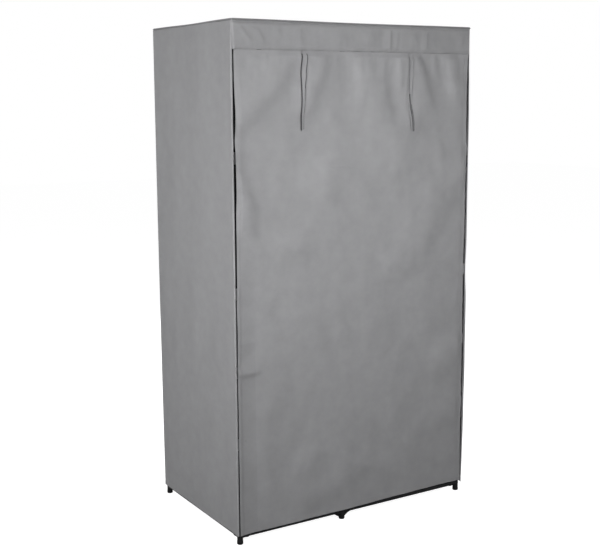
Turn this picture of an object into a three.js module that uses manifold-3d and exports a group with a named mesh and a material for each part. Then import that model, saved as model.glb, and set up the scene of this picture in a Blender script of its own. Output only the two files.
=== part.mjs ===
// A portable fabric wardrobe: a push-together frame of thin tubes and plastic connectors, three
// fabric shelves and a hanging rail inside, and a sewn cover whose front is a flap that folds up.
// Millimetres, +Z up. The origin is the middle of the footprint on the floor, the flap faces -Y.
import * as THREE from 'three';
import * as BufferGeometryUtils from 'three/addons/utils/BufferGeometryUtils.js';
import Module from 'manifold-3d';

const wasm = await Module();
wasm.setup();

// Overall sizes
const totalHeight = 1600;
const postSpacingWide = 868;
const postSpacingDeep = 518;
const middlePostShare = 0.44; // the middle frame stands this far from the left posts to the right ones

// Tubes and the plastic connectors that take their ends
const tubeDiameter = 16;
const tubeWall = 0.6;
const fitGap = 0.3;
const sleeveWall = 1.7;
const sleeveReach = 28; // from a connector's middle to the mouth of each sleeve
const socketStop = 12; // from a connector's middle to the stop that a tube's end meets
const bottomRailHeight = 28; // the floor to the axis of the bottom rails
const footChamfer = 2;
const gussetThickness = 3;
const gussetToeHeight = 4;
const eyeHeight = 30; // of the eyes on the shelf rails that the posts pass through

// Hanging rail under the top frame, in the wide bay
const hangingRailDrop = 36; // from the top rails' axis down to the hanging rail's
const holderWidth = 24;
const holderWebThickness = 12;

// Shelves in the narrow bay
const shelfCount = 3;
const shelfEndGap = 3; // between a shelf's edge and the mouths of the connectors' sleeves
const shelfSag = 8;

// Cover cloth
const clothThickness = 1.2;
const sideHemHeight = 28; // the floor to the lower edge of the sides and the back
const flapHemHeight = 36;
const valanceHeight = 87;
const topEdgeDroop = 1.5; // how far the top's edges hang between the corners
const topSag = 4;
const sideWave = 1.6; // half of how far the folds of the sides and the back stand out
const hemTurn = 5; // the sides' front hems turn in round the corner this far
const tabMargin = 6; // from the edges of the tabs behind the flap to their pads
const flapEdgeInset = 8.5; // between a side's outer face and the flap's side edge
const flapBands = 7;
const bandGap = 0.3;
const seamGap = 0.5;
const flapFoldFront = 6; // the deepest folds, forward of the flap's plane
const flapFoldBack = 3.2; // and behind it
const flapHemWidth = 30; // the flat hem along the flap's side edges, which lies back on the facings
const flapEdgeFade = 50; // the folds fade out over this width beside the hems
const seamFade = 40; // and over this height under the seam
const valancePucker = 1.5;

// Hook-and-loop closures
const padWidth = 14;
const padHeight = 24;
const padThickness = 1.2;
const padHeights = [327, 553, 795, 1200]; // the floor to the middle of each closure

// Ties that hold the flap up once it is gathered
const tieWidth = 15;
const tieLength = 236;
const tieThickness = 1;
const tieOffset = 202; // from the middle of the flap to each pair of ties
const tieTopInset = 2; // the seam to the top end of a tie
const tieBendLength = 45;

// Counts: the sides of every tube and sleeve, and the steps across and up each cloth
const tubeSides = 10;
const topSteps = [14, 8];
const sideSteps = [8, 8];
const backSteps = [12, 8];
const valanceSteps = [16, 2];
const flapSteps = [16, 3]; // of one band
const tieSteps = [1, 8];
const shelfArcSteps = 10;
const shelfSagSteps = 6;
const valancePuckers = 7;

// Derived places
const tubeRadius = tubeDiameter / 2;
const socketRadius = tubeRadius + fitGap;
const sleeveRadius = socketRadius + sleeveWall;
const postX = postSpacingWide / 2;
const postY = postSpacingDeep / 2;
const middleX = -postX + postSpacingWide * middlePostShare;
const topRailZ = totalHeight - clothThickness - fitGap - sleeveRadius;
const levelZ = (level) => bottomRailHeight + ((topRailZ - bottomRailHeight) * level) / (shelfCount + 1);
const shelfZ = Array.from({ length: shelfCount }, (_, k) => levelZ(k + 1));
const hangingRailZ = topRailZ - hangingRailDrop;

const coverInnerX = postX + sleeveRadius + fitGap;
const coverOuterX = coverInnerX + clothThickness;
const coverInnerY = postY + sleeveRadius + fitGap;
const coverOuterY = coverInnerY + clothThickness;
const closureStack = fitGap + 2 * padThickness;
const flapBackY = coverOuterY + closureStack + flapFoldBack;
const flapFrontY = flapBackY + clothThickness;
const tieBackY = flapFrontY + flapFoldFront + fitGap;
const frontReach = tieBackY + tieThickness;
const footprintShift = (frontReach - coverOuterY) / 2;
const valanceTopY = coverOuterY + fitGap;
const seamZ = totalHeight - valanceHeight;
const flapTopZ = seamZ - seamGap;
const flapHalfWidth = coverOuterX - flapEdgeInset;
const padX = flapHalfWidth - padWidth;
const bandHeight = (flapTopZ - flapHemHeight) / flapBands;

// Main folds of the flap. Ends are shares of its width and height from the lower left corner, the
// half width is a share of its width, and the lift a share of the deepest fold, forward positive.
const flapFoldShares = [
  { from: [0.24, 0.99], to: [0.11, 0.9], width: 0.045, lift: -0.8 },
  { from: [0.11, 0.9], to: [0.0, 0.8], width: 0.045, lift: -0.8 },
  { from: [0.17, 0.99], to: [0.03, 0.88], width: 0.05, lift: 1.0 },
  { from: [0.01, 0.77], to: [0.07, 0.68], width: 0.035, lift: -0.6 },
  { from: [0.36, 0.99], to: [0.29, 0.86], width: 0.035, lift: -0.7 },
  { from: [0.31, 0.97], to: [0.24, 0.84], width: 0.04, lift: 0.7 },
  { from: [0.61, 0.99], to: [0.66, 0.86], width: 0.03, lift: -0.6 },
  { from: [0.68, 0.99], to: [0.7, 0.87], width: 0.04, lift: 0.9 },
  { from: [0.78, 0.99], to: [0.85, 0.86], width: 0.035, lift: -0.7 },
  { from: [0.87, 0.98], to: [0.9, 0.82], width: 0.045, lift: 0.7 },
  { from: [0.98, 0.7], to: [0.87, 0.61], width: 0.045, lift: -0.7 },
  { from: [0.87, 0.61], to: [0.74, 0.55], width: 0.05, lift: -0.6 },
  { from: [0.5, 0.8], to: [0.4, 0.3], width: 0.2, lift: 0.35 },
  { from: [0.8, 0.45], to: [0.7, 0.1], width: 0.12, lift: 0.3 },
];
// Soft folds of the sides and the back: how many across, how high, and how far along each panel starts
const sideWaveShares = [{ across: 2.5, lift: 0.6 }, { across: 4.2, lift: 0.4 }];
const waveStartShares = { left: 0.1, right: 0.6, back: 0.3 };
const waveFadeShares = { across: 0.25, up: 0.2 }; // of the panel, at each edge
const puckerSlantShare = 0.64; // of a pucker's width that it leans over the valance's height

// Colours and finishes
const clothLook = { color: 0x929294, roughness: 0.95, metalness: 0 };
const tieLook = { color: 0x8c8c8e, roughness: 0.95, metalness: 0 };
const plasticLook = { color: 0x1c1c1e, roughness: 0.45, metalness: 0 };
const tubeLook = { color: 0x202022, roughness: 0.35, metalness: 0.2 };

const mix = THREE.MathUtils.lerp;

const wardrobe = new THREE.Group();
wardrobe.position.y = footprintShift;

function addPart(name, geometry, look) {
  geometry.computeVertexNormals();
  const mesh = new THREE.Mesh(geometry, new THREE.MeshStandardMaterial(look));
  mesh.name = name;
  wardrobe.add(mesh);
}

// Solids and booleans
function positionsOnly(geometry) {
  const copy = geometry.clone();
  copy.deleteAttribute('normal');
  copy.deleteAttribute('uv');
  return copy;
}

function toManifold(geometry) {
  const merged = BufferGeometryUtils.mergeVertices(positionsOnly(geometry));
  return new wasm.Manifold(new wasm.Mesh({
    numProp: 3,
    vertProperties: new Float32Array(merged.attributes.position.array),
    triVerts: new Uint32Array(merged.index.array),
  }));
}

function carve(solids, cuts = []) {
  let body = toManifold(solids[0]);
  for (const solid of solids.slice(1)) body = body.add(toManifold(solid));
  for (const cut of cuts) body = body.subtract(toManifold(cut));
  const mesh = body.getMesh();
  const geometry = new THREE.BufferGeometry();
  geometry.setAttribute('position', new THREE.BufferAttribute(new Float32Array(mesh.vertProperties), 3));
  geometry.setIndex(new THREE.BufferAttribute(new Uint32Array(mesh.triVerts), 1));
  return geometry;
}

// A ring of points for tubes, sleeves and sockets, so that their flats line up
function ring(radius) {
  return Array.from({ length: tubeSides }, (_, k) => {
    const angle = ((k + 0.5) / tubeSides) * 2 * Math.PI;
    return new THREE.Vector2(radius * Math.cos(angle), radius * Math.sin(angle));
  });
}

// Directions, each as the turn that carries +Z onto it
const turns = {
  up: new THREE.Matrix4(),
  down: new THREE.Matrix4().makeRotationX(Math.PI),
  right: new THREE.Matrix4().makeRotationY(Math.PI / 2),
  left: new THREE.Matrix4().makeRotationY(-Math.PI / 2),
  back: new THREE.Matrix4().makeRotationX(-Math.PI / 2),
  front: new THREE.Matrix4().makeRotationX(Math.PI / 2),
};

function rod(radius, start, end, direction, [x, y, z], bore = 0) {
  const shape = new THREE.Shape(ring(radius));
  if (bore > 0) shape.holes.push(new THREE.Path(ring(bore)));
  const geometry = new THREE.ExtrudeGeometry(shape, { depth: end - start, bevelEnabled: false });
  return geometry.translate(0, 0, start).applyMatrix4(turns[direction]).translate(x, y, z);
}

function boxBetween([x0, y0, z0], [x1, y1, z1]) {
  const geometry = new THREE.BoxGeometry(x1 - x0, y1 - y0, z1 - z0);
  return geometry.translate((x0 + x1) / 2, (y0 + y1) / 2, (z0 + z1) / 2);
}

// Connectors: a sleeve each way that a tube goes, each with its socket
function sleeves(centre, directions) {
  const upright = (way) => way === 'up' || way === 'down';
  return directions.map((way) => rod(sleeveRadius, upright(way) ? -tubeRadius : 0, sleeveReach, way, centre));
}

function sockets(centre, directions) {
  return directions.map((way) => rod(socketRadius, socketStop, sleeveReach + tubeRadius, way, centre));
}

function connector(centre, directions, extras = []) {
  return carve([...sleeves(centre, directions), ...extras], sockets(centre, directions));
}

function foot([x, y]) {
  const profile = [
    new THREE.Vector2(0, 0),
    new THREE.Vector2(sleeveRadius - footChamfer, 0),
    new THREE.Vector2(sleeveRadius, footChamfer),
    new THREE.Vector2(sleeveRadius, bottomRailHeight),
    new THREE.Vector2(0, bottomRailHeight),
  ];
  const geometry = new THREE.LatheGeometry(profile, tubeSides);
  return geometry.rotateX(Math.PI / 2).rotateZ(Math.PI / tubeSides).translate(x, y, 0);
}

// The middle feet carry a web on each side, from the sleeves' mouths down to the toe
function gusset([x, y]) {
  const outline = new THREE.Shape([
    new THREE.Vector2(-sleeveReach, bottomRailHeight - sleeveRadius / 2),
    new THREE.Vector2(-sleeveReach, bottomRailHeight - sleeveRadius),
    new THREE.Vector2(-sleeveRadius / 2, gussetToeHeight),
    new THREE.Vector2(sleeveRadius / 2, gussetToeHeight),
    new THREE.Vector2(sleeveReach, bottomRailHeight - sleeveRadius),
    new THREE.Vector2(sleeveReach, bottomRailHeight - sleeveRadius / 2),
  ]);
  const web = new THREE.ExtrudeGeometry(outline, { depth: gussetThickness, bevelEnabled: false });
  return web.rotateX(Math.PI / 2).translate(x, y + gussetThickness / 2, 0);
}

// The six posts and what each one's connectors reach towards
const posts = [
  { name: 'front_left', x: -postX, y: -postY, wide: ['right'], deep: 'back' },
  { name: 'rear_left', x: -postX, y: postY, wide: ['right'], deep: 'front' },
  { name: 'front_middle', x: middleX, y: -postY, wide: ['left', 'right'], deep: 'back' },
  { name: 'rear_middle', x: middleX, y: postY, wide: ['left', 'right'], deep: 'front' },
  { name: 'front_right', x: postX, y: -postY, wide: ['left'], deep: 'back' },
  { name: 'rear_right', x: postX, y: postY, wide: ['left'], deep: 'front' },
];
const isMiddle = (post) => post.x === middleX;

function makeConnectors() {
  for (const post of posts) {
    const low = [post.x, post.y, bottomRailHeight];
    const extras = isMiddle(post) ? [foot(low), gusset(low)] : [foot(low)];
    const footPiece = connector(low, ['up', ...post.wide, post.deep], extras);
    addPart(`foot_connector_${post.name}`, footPiece, plasticLook);
    const high = [post.x, post.y, topRailZ];
    const topPiece = connector(high, ['down', ...post.wide, post.deep]);
    addPart(`top_connector_${post.name}`, topPiece, plasticLook);
  }
}

// Tubes stop a fit gap short of the stops in their sockets
function tube(centre, direction, start, end) {
  return rod(tubeRadius, start + fitGap, end - fitGap, direction, centre, tubeRadius - tubeWall);
}

function makePosts() {
  for (const post of posts) {
    const whole = tube([post.x, post.y, 0], 'up', bottomRailHeight + socketStop, topRailZ - socketStop);
    addPart(`post_${post.name}`, whole, tubeLook);
  }
}

const rows = [['front', -postY], ['rear', postY]];

function wideRail(fromX, toX, y, z) {
  return tube([0, y, z], 'right', fromX + socketStop, toX - socketStop);
}

function makeRails() {
  for (const [level, z] of [['bottom', bottomRailHeight], ['top', topRailZ]]) {
    for (const [row, y] of rows) {
      addPart(`${level}_rail_${row}_left`, wideRail(-postX, middleX, y, z), tubeLook);
      addPart(`${level}_rail_${row}_right`, wideRail(middleX, postX, y, z), tubeLook);
    }
    for (const [place, x] of [['left', -postX], ['middle', middleX], ['right', postX]]) {
      const deep = tube([x, 0, z], 'back', -postY + socketStop, postY - socketStop);
      addPart(`${level}_rail_side_${place}`, deep, tubeLook);
    }
  }
}

// A shelf rail ends in two plastic eyes that the posts pass through
function makeShelfRails() {
  const bore = tubeRadius - tubeWall;
  shelfZ.forEach((z, level) => {
    for (const [row, y] of rows) {
      const solids = [rod(tubeRadius, -postX, middleX, 'right', [0, y, z])];
      const cuts = [rod(bore, -postX, middleX, 'right', [0, y, z])];
      for (const [x, way] of [[-postX, 'right'], [middleX, 'left']]) {
        solids.push(rod(sleeveRadius, -eyeHeight / 2, eyeHeight / 2, 'up', [x, y, z]));
        solids.push(rod(sleeveRadius, 0, sleeveReach, way, [x, y, z]));
        cuts.push(rod(socketRadius, -eyeHeight, eyeHeight, 'up', [x, y, z]));
      }
      addPart(`shelf_rail_${row}_${level + 1}`, carve(solids, cuts), tubeLook);
    }
  });
}

// The hanging rail sits in two holders that ring the top rails of the wide bay's ends
function makeHangingRail() {
  const half = holderWidth / 2;
  for (const [name, x, way] of [['middle', middleX, 'right'], ['right', postX, 'left']]) {
    const eye = rod(sleeveRadius, -half, half, 'back', [x, 0, topRailZ]);
    const cup = rod(sleeveRadius, -sleeveRadius, sleeveReach, way, [x, 0, hangingRailZ]);
    const web = boxBetween(
      [x - sleeveRadius + sleeveWall, -holderWebThickness / 2, hangingRailZ],
      [x + sleeveRadius - sleeveWall, holderWebThickness / 2, topRailZ],
    );
    const eyeBore = rod(socketRadius, -holderWidth, holderWidth, 'back', [x, 0, topRailZ]);
    const cupBore = rod(socketRadius, socketStop, sleeveReach + tubeRadius, way, [x, 0, hangingRailZ]);
    addPart(`hanging_rail_holder_${name}`, carve([eye, cup, web], [eyeBore, cupBore]), plasticLook);
  }
  addPart('hanging_rail', wideRail(middleX, postX, 0, hangingRailZ), tubeLook);
}

// A shelf is one piece of cloth with a sewn sleeve along its front and rear edge
function makeShelves() {
  const inner = socketRadius;
  const outer = socketRadius + clothThickness;
  const left = -postX + sleeveReach + shelfEndGap;
  const right = middleX - sleeveReach - shelfEndGap;
  const joinAngle = Math.asin(inner / outer);
  // Local X points down and local Y to the back, as they stand once the outline is turned to face +X
  const at = (y, z) => new THREE.Vector2(-z, y);
  // From the sleeve's top round its outside to where it meets the cloth's underside
  const sleeveArc = (side) => Array.from({ length: shelfArcSteps + 1 }, (_, k) => {
    const angle = mix(Math.PI / 2, 2 * Math.PI - joinAngle, k / shelfArcSteps);
    return at(side * (postY - outer * Math.cos(angle)), outer * Math.sin(angle));
  });
  const lie = (y, z) => at(y, z - shelfSag * Math.cos((y / postY) * (Math.PI / 2)));
  const span = Array.from(
    { length: shelfSagSteps - 1 },
    (_, k) => mix(-postY, postY, (k + 1) / shelfSagSteps),
  );
  const frontArc = sleeveArc(-1).reverse();
  const rearArc = sleeveArc(1);
  const outline = [
    ...frontArc,
    ...span.map((y) => lie(y, outer)),
    ...rearArc,
    ...span.map((y) => lie(y, inner)).reverse(),
  ];
  shelfZ.forEach((z, level) => {
    const shape = new THREE.Shape(outline);
    for (const side of [-1, 1]) {
      shape.holes.push(new THREE.Path(ring(inner).map((p) => new THREE.Vector2(p.x, p.y + side * postY))));
    }
    const geometry = new THREE.ExtrudeGeometry(shape, { depth: right - left, bevelEnabled: false });
    geometry.applyMatrix4(turns.right).translate(left, 0, z);
    addPart(`shelf_${level + 1}`, geometry, clothLook);
  });
}

// Cloth: a grid of points on the outer face, and the same grid one thickness further in.
// place(u, v) runs so that u crossed with v points out of the wardrobe.
function clothSolid([columns, rows], place, inward, thickness = clothThickness) {
  const outer = [];
  for (let j = 0; j <= rows; j += 1) {
    for (let i = 0; i <= columns; i += 1) outer.push(place(i / columns, j / rows));
  }
  const inner = outer.map((p) => p.clone().addScaledVector(inward, thickness));
  const points = [...outer, ...inner];
  const at = (i, j) => j * (columns + 1) + i;
  const back = outer.length;
  const faces = [];
  for (let j = 0; j < rows; j += 1) {
    for (let i = 0; i < columns; i += 1) {
      const [a, b, c, d] = [at(i, j), at(i + 1, j), at(i + 1, j + 1), at(i, j + 1)];
      faces.push(a, b, c, a, c, d);
      faces.push(a + back, c + back, b + back, a + back, d + back, c + back);
    }
  }
  const rim = [];
  for (let i = 0; i < columns; i += 1) rim.push([at(i + 1, 0), at(i, 0)], [at(i, rows), at(i + 1, rows)]);
  for (let j = 0; j < rows; j += 1) rim.push([at(0, j), at(0, j + 1)], [at(columns, j + 1), at(columns, j)]);
  for (const [a, b] of rim) faces.push(a, b, b + back, a, b + back, a + back);
  const geometry = new THREE.BufferGeometry();
  const flat = points.flatMap((p) => [p.x, p.y, p.z]);
  geometry.setAttribute('position', new THREE.BufferAttribute(new Float32Array(flat), 3));
  geometry.setIndex(faces);
  return geometry;
}

const into = {
  back: new THREE.Vector3(0, 1, 0),
  front: new THREE.Vector3(0, -1, 0),
  right: new THREE.Vector3(1, 0, 0),
  left: new THREE.Vector3(-1, 0, 0),
  down: new THREE.Vector3(0, 0, -1),
};
const smooth = (t) => THREE.MathUtils.smoothstep(t, 0, 1);

// Cloth hangs between two posts, and lies level over the connectors at both ends
const hang = (share) => Math.sin(Math.PI * THREE.MathUtils.clamp(share, 0, 1));
const clearOfPosts = 2 * sleeveReach;
const hangBetween = (at, from, to) => {
  const low = from + clearOfPosts;
  return hang((at - low) / (to - clearOfPosts - low));
};
const edgeHangX = (x) => topEdgeDroop * hangBetween(x, -postX, postX) ** 2;
const edgeHangY = (y) => topEdgeDroop * hangBetween(y, -postY, postY) ** 2;

// One narrow step at each end of a row, and the rest equal: edge, line, ..., line, edge
function bordered(share, steps, edges, lines) {
  const step = 1 / steps;
  if (share < step) return mix(edges[0], lines[0], share / step);
  if (share > 1 - step) return mix(lines[1], edges[1], (share - 1 + step) / step);
  return mix(lines[0], lines[1], (share - step) / (1 - 2 * step));
}

function makeTop() {
  const frontEdge = -valanceTopY - clothThickness;
  const place = (u, v) => {
    const x = bordered(u, topSteps[0], [-coverOuterX, coverOuterX], [-postX, postX]);
    const y = bordered(v, topSteps[1], [frontEdge, coverOuterY], [-postY, postY]);
    const bay = x < middleX ? hangBetween(x, -postX, middleX) : hangBetween(x, middleX, postX);
    const inside = bay * hangBetween(y, -postY, postY);
    const frontOrRear = Math.abs(v * 2 - 1) > 1 - Number.EPSILON;
    const endOfRow = Math.abs(u * 2 - 1) > 1 - Number.EPSILON;
    const droop = (frontOrRear ? edgeHangX(x) : 0) + (endOfRow ? edgeHangY(y) : 0);
    return new THREE.Vector3(x, y, totalHeight - topSag * inside - droop);
  };
  addPart('cover_top', clothSolid(topSteps, place, into.down), clothLook);
}

// Soft upright folds of a hanging panel, fading out at its edges
function wave(u, v, start) {
  const fadeAcross = smooth(Math.min(u, 1 - u) / waveFadeShares.across);
  const fadeUp = smooth(Math.min(v, 1 - v) / waveFadeShares.up);
  let sum = 0;
  for (const { across, lift } of sideWaveShares) {
    sum += lift * Math.sin(2 * Math.PI * (across * u + start + v * lift));
  }
  return sideWave * fadeAcross * fadeUp * (1 + sum);
}

function makeSidesAndBack() {
  const panelTop = totalHeight - clothThickness - fitGap;
  for (const [name, side, inward] of [['left', -1, into.right], ['right', 1, into.left]]) {
    const place = (u, v) => {
      const y = mix(-coverOuterY, coverOuterY, side > 0 ? u : 1 - u);
      const z = mix(sideHemHeight, panelTop - edgeHangY(y), v);
      return new THREE.Vector3(side * (coverOuterX + wave(u, v, waveStartShares[name])), y, z);
    };
    const panel = clothSolid(sideSteps, place, inward);
    addPart(`cover_side_${name}`, carve([panel, ...facings(side), ...loopPads(side)]), clothLook);
  }
  const halfWidth = coverInnerX - fitGap;
  const placeBack = (u, v) => {
    const x = mix(halfWidth, -halfWidth, u);
    const z = mix(sideHemHeight, panelTop - edgeHangX(x), v);
    return new THREE.Vector3(x, coverOuterY + wave(u, v, waveStartShares.back), z);
  };
  addPart('cover_back', clothSolid(backSteps, placeBack, into.front), clothLook);
}

// A side's front hem, turned in round the corner, and the tabs on it that carry the loop pads
function facings(side) {
  const outerX = coverOuterX - clothThickness / 2;
  const strip = (innerX, bottom, top) => boxBetween(
    [Math.min(side * innerX, side * outerX), -coverOuterY, bottom],
    [Math.max(side * innerX, side * outerX), -coverInnerY, top],
  );
  const half = padHeight / 2 + tabMargin;
  const tabInnerX = padX - padWidth / 2 - tabMargin;
  const tabs = padHeights.map((z) => strip(tabInnerX, z - half, z + half));
  return [strip(coverOuterX - hemTurn, sideHemHeight, seamZ), ...tabs];
}

// Pads reach half a thickness into the cloth that they are sewn to
function pad(side, z, frontY, backY) {
  return boxBetween(
    [side * padX - padWidth / 2, -frontY, z - padHeight / 2],
    [side * padX + padWidth / 2, -backY, z + padHeight / 2],
  );
}

function loopPads(side) {
  const base = coverOuterY - clothThickness / 2;
  return padHeights.map((z) => pad(side, z, coverOuterY + padThickness, base));
}

function hookPads(side, bottom, top) {
  const front = flapBackY - flapFoldBack + clothThickness / 2;
  const own = padHeights.filter((z) => z > bottom && z < top);
  return own.map((z) => pad(side, z, front, flapBackY - flapFoldBack - padThickness));
}

function makeValance() {
  const place = (u, v) => {
    const turn = 2 * Math.PI * (valancePuckers * u + puckerSlantShare * v);
    const pucker = valancePucker * Math.sin(turn) * hang(v) * hang(u);
    const y = mix(flapFrontY, valanceTopY + clothThickness, v) + pucker;
    const x = mix(-coverOuterX, coverOuterX, u);
    const top = totalHeight - clothThickness - fitGap - edgeHangX(x);
    return new THREE.Vector3(x, -y, mix(seamZ, top, v));
  };
  addPart('valance', clothSolid(valanceSteps, place, into.back), clothLook);
}

// Height of the flap's front face before its plane, forward positive
function flapRelief(x, z) {
  const width = 2 * flapHalfWidth;
  const height = flapTopZ - flapHemHeight;
  const point = new THREE.Vector2(x + flapHalfWidth, z - flapHemHeight);
  let sum = 0;
  for (const fold of flapFoldShares) {
    const from = new THREE.Vector2(fold.from[0] * width, fold.from[1] * height);
    const to = new THREE.Vector2(fold.to[0] * width, fold.to[1] * height);
    const along = to.clone().sub(from);
    const share = THREE.MathUtils.clamp(point.clone().sub(from).dot(along) / along.lengthSq(), 0, 1);
    const distance = point.distanceTo(from.addScaledVector(along, share));
    sum += fold.lift * Math.exp(-((distance / (fold.width * width)) ** 2));
  }
  const edge = smooth((flapHalfWidth - flapHemWidth - Math.abs(x)) / flapEdgeFade);
  const seam = smooth((flapTopZ - z) / seamFade);
  const deepest = sum > 0 ? flapFoldFront : flapFoldBack;
  const lift = deepest * Math.tanh((sum * flapFoldFront) / deepest);
  return seam * (edge * lift - (1 - edge) * flapFoldBack);
}

const bandTop = (band) => flapTopZ - band * bandHeight;

function makeFlap() {
  const hemLine = flapHalfWidth - flapHemWidth;
  for (let band = 0; band < flapBands; band += 1) {
    const top = bandTop(band);
    const bottom = bandTop(band + 1) + (band === flapBands - 1 ? 0 : bandGap);
    const place = (u, v) => {
      const x = bordered(u, flapSteps[0], [-flapHalfWidth, flapHalfWidth], [-hemLine, hemLine]);
      const z = mix(bottom, top, v);
      return new THREE.Vector3(x, -flapFrontY - flapRelief(x, z), z);
    };
    const cloth = clothSolid(flapSteps, place, into.back);
    const pads = [...hookPads(-1, bottom, top), ...hookPads(1, bottom, top)];
    addPart(`flap_band_${band + 1}`, pads.length > 0 ? carve([cloth, ...pads]) : cloth, clothLook);
  }
}

// A tie leaves the seam against the flap and then hangs clear of its folds
function makeTies() {
  const topZ = flapTopZ - tieTopInset;
  for (const [name, side] of [['left', -1], ['right', 1]]) {
    const hanging = (near, far, u, v) => {
      const z = mix(topZ - tieLength, topZ, v);
      const y = mix(near, far, smooth((topZ - z) / tieBendLength));
      return new THREE.Vector3(side * tieOffset + mix(-tieWidth, tieWidth, u) / 2, -y, z);
    };
    const outside = (u, v) => hanging(flapFrontY + fitGap + tieThickness, frontReach, u, v);
    addPart(`tie_outer_${name}`, clothSolid(tieSteps, outside, into.back, tieThickness), tieLook);
    const farY = flapBackY - flapFoldBack - fitGap;
    const inside = (u, v) => hanging(flapBackY - fitGap, farY, u, v);
    addPart(`tie_inner_${name}`, clothSolid(tieSteps, inside, into.back, tieThickness), tieLook);
  }
}

makeConnectors();
makePosts();
makeRails();
makeShelfRails();
makeHangingRail();
makeShelves();
makeTop();
makeSidesAndBack();
makeValance();
makeFlap();
makeTies();

export default wardrobe;
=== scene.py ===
"""A portable fabric wardrobe: the sewn cover with its flap and ties, the fabric shelves and the
push-together frame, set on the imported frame. Metres, +Z up, and the flap faces -Y."""

import math

import bmesh
import bpy
import numpy as np
from mathutils import Matrix, Vector


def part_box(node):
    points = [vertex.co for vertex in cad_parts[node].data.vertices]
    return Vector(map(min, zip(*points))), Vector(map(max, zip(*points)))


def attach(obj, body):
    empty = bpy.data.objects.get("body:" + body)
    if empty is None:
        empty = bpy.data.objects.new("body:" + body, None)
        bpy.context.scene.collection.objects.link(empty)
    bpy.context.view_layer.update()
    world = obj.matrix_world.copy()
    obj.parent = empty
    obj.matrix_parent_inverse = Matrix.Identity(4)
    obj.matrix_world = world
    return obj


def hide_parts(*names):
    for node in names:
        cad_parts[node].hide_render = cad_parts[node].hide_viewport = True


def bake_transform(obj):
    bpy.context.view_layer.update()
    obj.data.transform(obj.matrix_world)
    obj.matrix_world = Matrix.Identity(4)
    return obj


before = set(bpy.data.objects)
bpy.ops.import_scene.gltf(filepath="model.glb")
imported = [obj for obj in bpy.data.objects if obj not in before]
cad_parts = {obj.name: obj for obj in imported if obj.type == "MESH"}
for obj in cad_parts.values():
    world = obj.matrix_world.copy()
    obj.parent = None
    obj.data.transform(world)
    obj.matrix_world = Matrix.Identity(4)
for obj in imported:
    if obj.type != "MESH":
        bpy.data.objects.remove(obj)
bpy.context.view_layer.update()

MM = 0.001
PLACES = ("left", "middle", "right")
ROWS = ("front", "rear")
FIXED = "frame_and_cover"  # the body that the others move on


# Places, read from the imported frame
def low(node, axis):
    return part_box(node)[0][axis]


def high(node, axis):
    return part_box(node)[1][axis]


def centre(node, axis):
    return (low(node, axis) + high(node, axis)) / 2


POST_X = {place: centre(f"post_front_{place}", 0) for place in PLACES}
POST_Y = {row: centre(f"post_{row}_left", 1) for row in ROWS}
BOTTOM_RAIL_Z = centre("bottom_rail_side_left", 2)
TOP_RAIL_Z = centre("top_rail_side_left", 2)
HANGING_Z = centre("hanging_rail", 2)
SHELF_Z = {k: centre(f"shelf_rail_front_{k}", 2) for k in (1, 2, 3)}

COVER_STAND = 11.5 * MM  # from a post's axis to the cover's outer face
SIDE_X = POST_X["right"] + COVER_STAND
FRONT_Y = POST_Y["front"] - COVER_STAND
BACK_Y = POST_Y["rear"] + COVER_STAND
TOP_Z = high("cover_top", 2)
PANEL_TOP = TOP_Z - 6.5 * MM
SIDE_HEM_Z = low("cover_back", 2)
SEAM_Z = low("valance", 2)
FLAP_Y = FRONT_Y - 7.1 * MM  # the plane that the flap's folds stand out from
FLAP_TOP = high("flap_band_1", 2)
FLAP_BOTTOM = low("flap_band_7", 2)
FLAP_HALF = high("flap_band_1", 0)
FLAP_BANDS = 7
BAND = (FLAP_TOP - FLAP_BOTTOM) / FLAP_BANDS
PAD_Z = [0.327, 0.553, 0.795, 1.200]
PAD_X = FLAP_HALF - 14 * MM
CLOTH = 0.7 * MM
CLOTH_STEP = 3.4 * MM
SHARP = math.radians(40)


# Shared arithmetic
def mix(a, b, t):
    return a + (b - a) * t


def smooth(t):
    t = np.clip(t, 0.0, 1.0)
    return t * t * (3 - 2 * t)


def bell(t):
    return np.exp(-(t**2))


def table(at, places, values):
    """A smooth curve through a short table."""
    places, values = np.asarray(places, float), np.asarray(values, float)
    k = np.clip(np.searchsorted(places, at, side="right") - 1, 0, len(places) - 2)
    return mix(values[k], values[k + 1], smooth((at - places[k]) / (places[k + 1] - places[k])))


def ripples(seed, count, shortest, longest, lean=0.0, spread=math.pi):
    """A smooth random field of about unit height, from waves between two lengths."""
    dice = np.random.default_rng(seed)
    length = np.exp(dice.uniform(math.log(shortest), math.log(longest), count))
    heading = lean + dice.uniform(-spread / 2, spread / 2, count)
    start = dice.uniform(0, 2 * math.pi, count)
    share = length / math.sqrt((length**2).sum()) * math.sqrt(2)
    turn = 2 * math.pi / length

    def field(a, b):
        total = 0.0
        for k in range(count):
            way = math.cos(heading[k]) * a + math.sin(heading[k]) * b
            total = total + share[k] * np.cos(turn[k] * way + start[k])
        return total

    return field


def distance_to_line(x, z, line):
    """For a line in millimetres: the least distance to it, the share of its length where that is,
    and the distance to its right."""
    x, z = x / MM, z / MM
    line = np.reshape(line, (-1, 2)).astype(float)
    steps = np.diff(line, axis=0)
    lengths = np.hypot(*steps.T)
    run = np.concatenate([[0], np.cumsum(lengths)])
    best = np.full(np.shape(x), np.inf)
    share = right = np.zeros(np.shape(x))
    for k, (dx, dz) in enumerate(steps):
        along, up = x - line[k, 0], z - line[k, 1]
        t = np.clip((along * dx + up * dz) / lengths[k] ** 2, 0, 1)
        off_x, off_z = along - t * dx, up - t * dz
        d = np.hypot(off_x, off_z)
        nearer = d < best
        best = np.where(nearer, d, best)
        share = np.where(nearer, (run[k] + t * lengths[k]) / run[-1], share)
        right = np.where(nearer, (dx * off_z - dz * off_x) / lengths[k], right)
    return best, share, right


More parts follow.
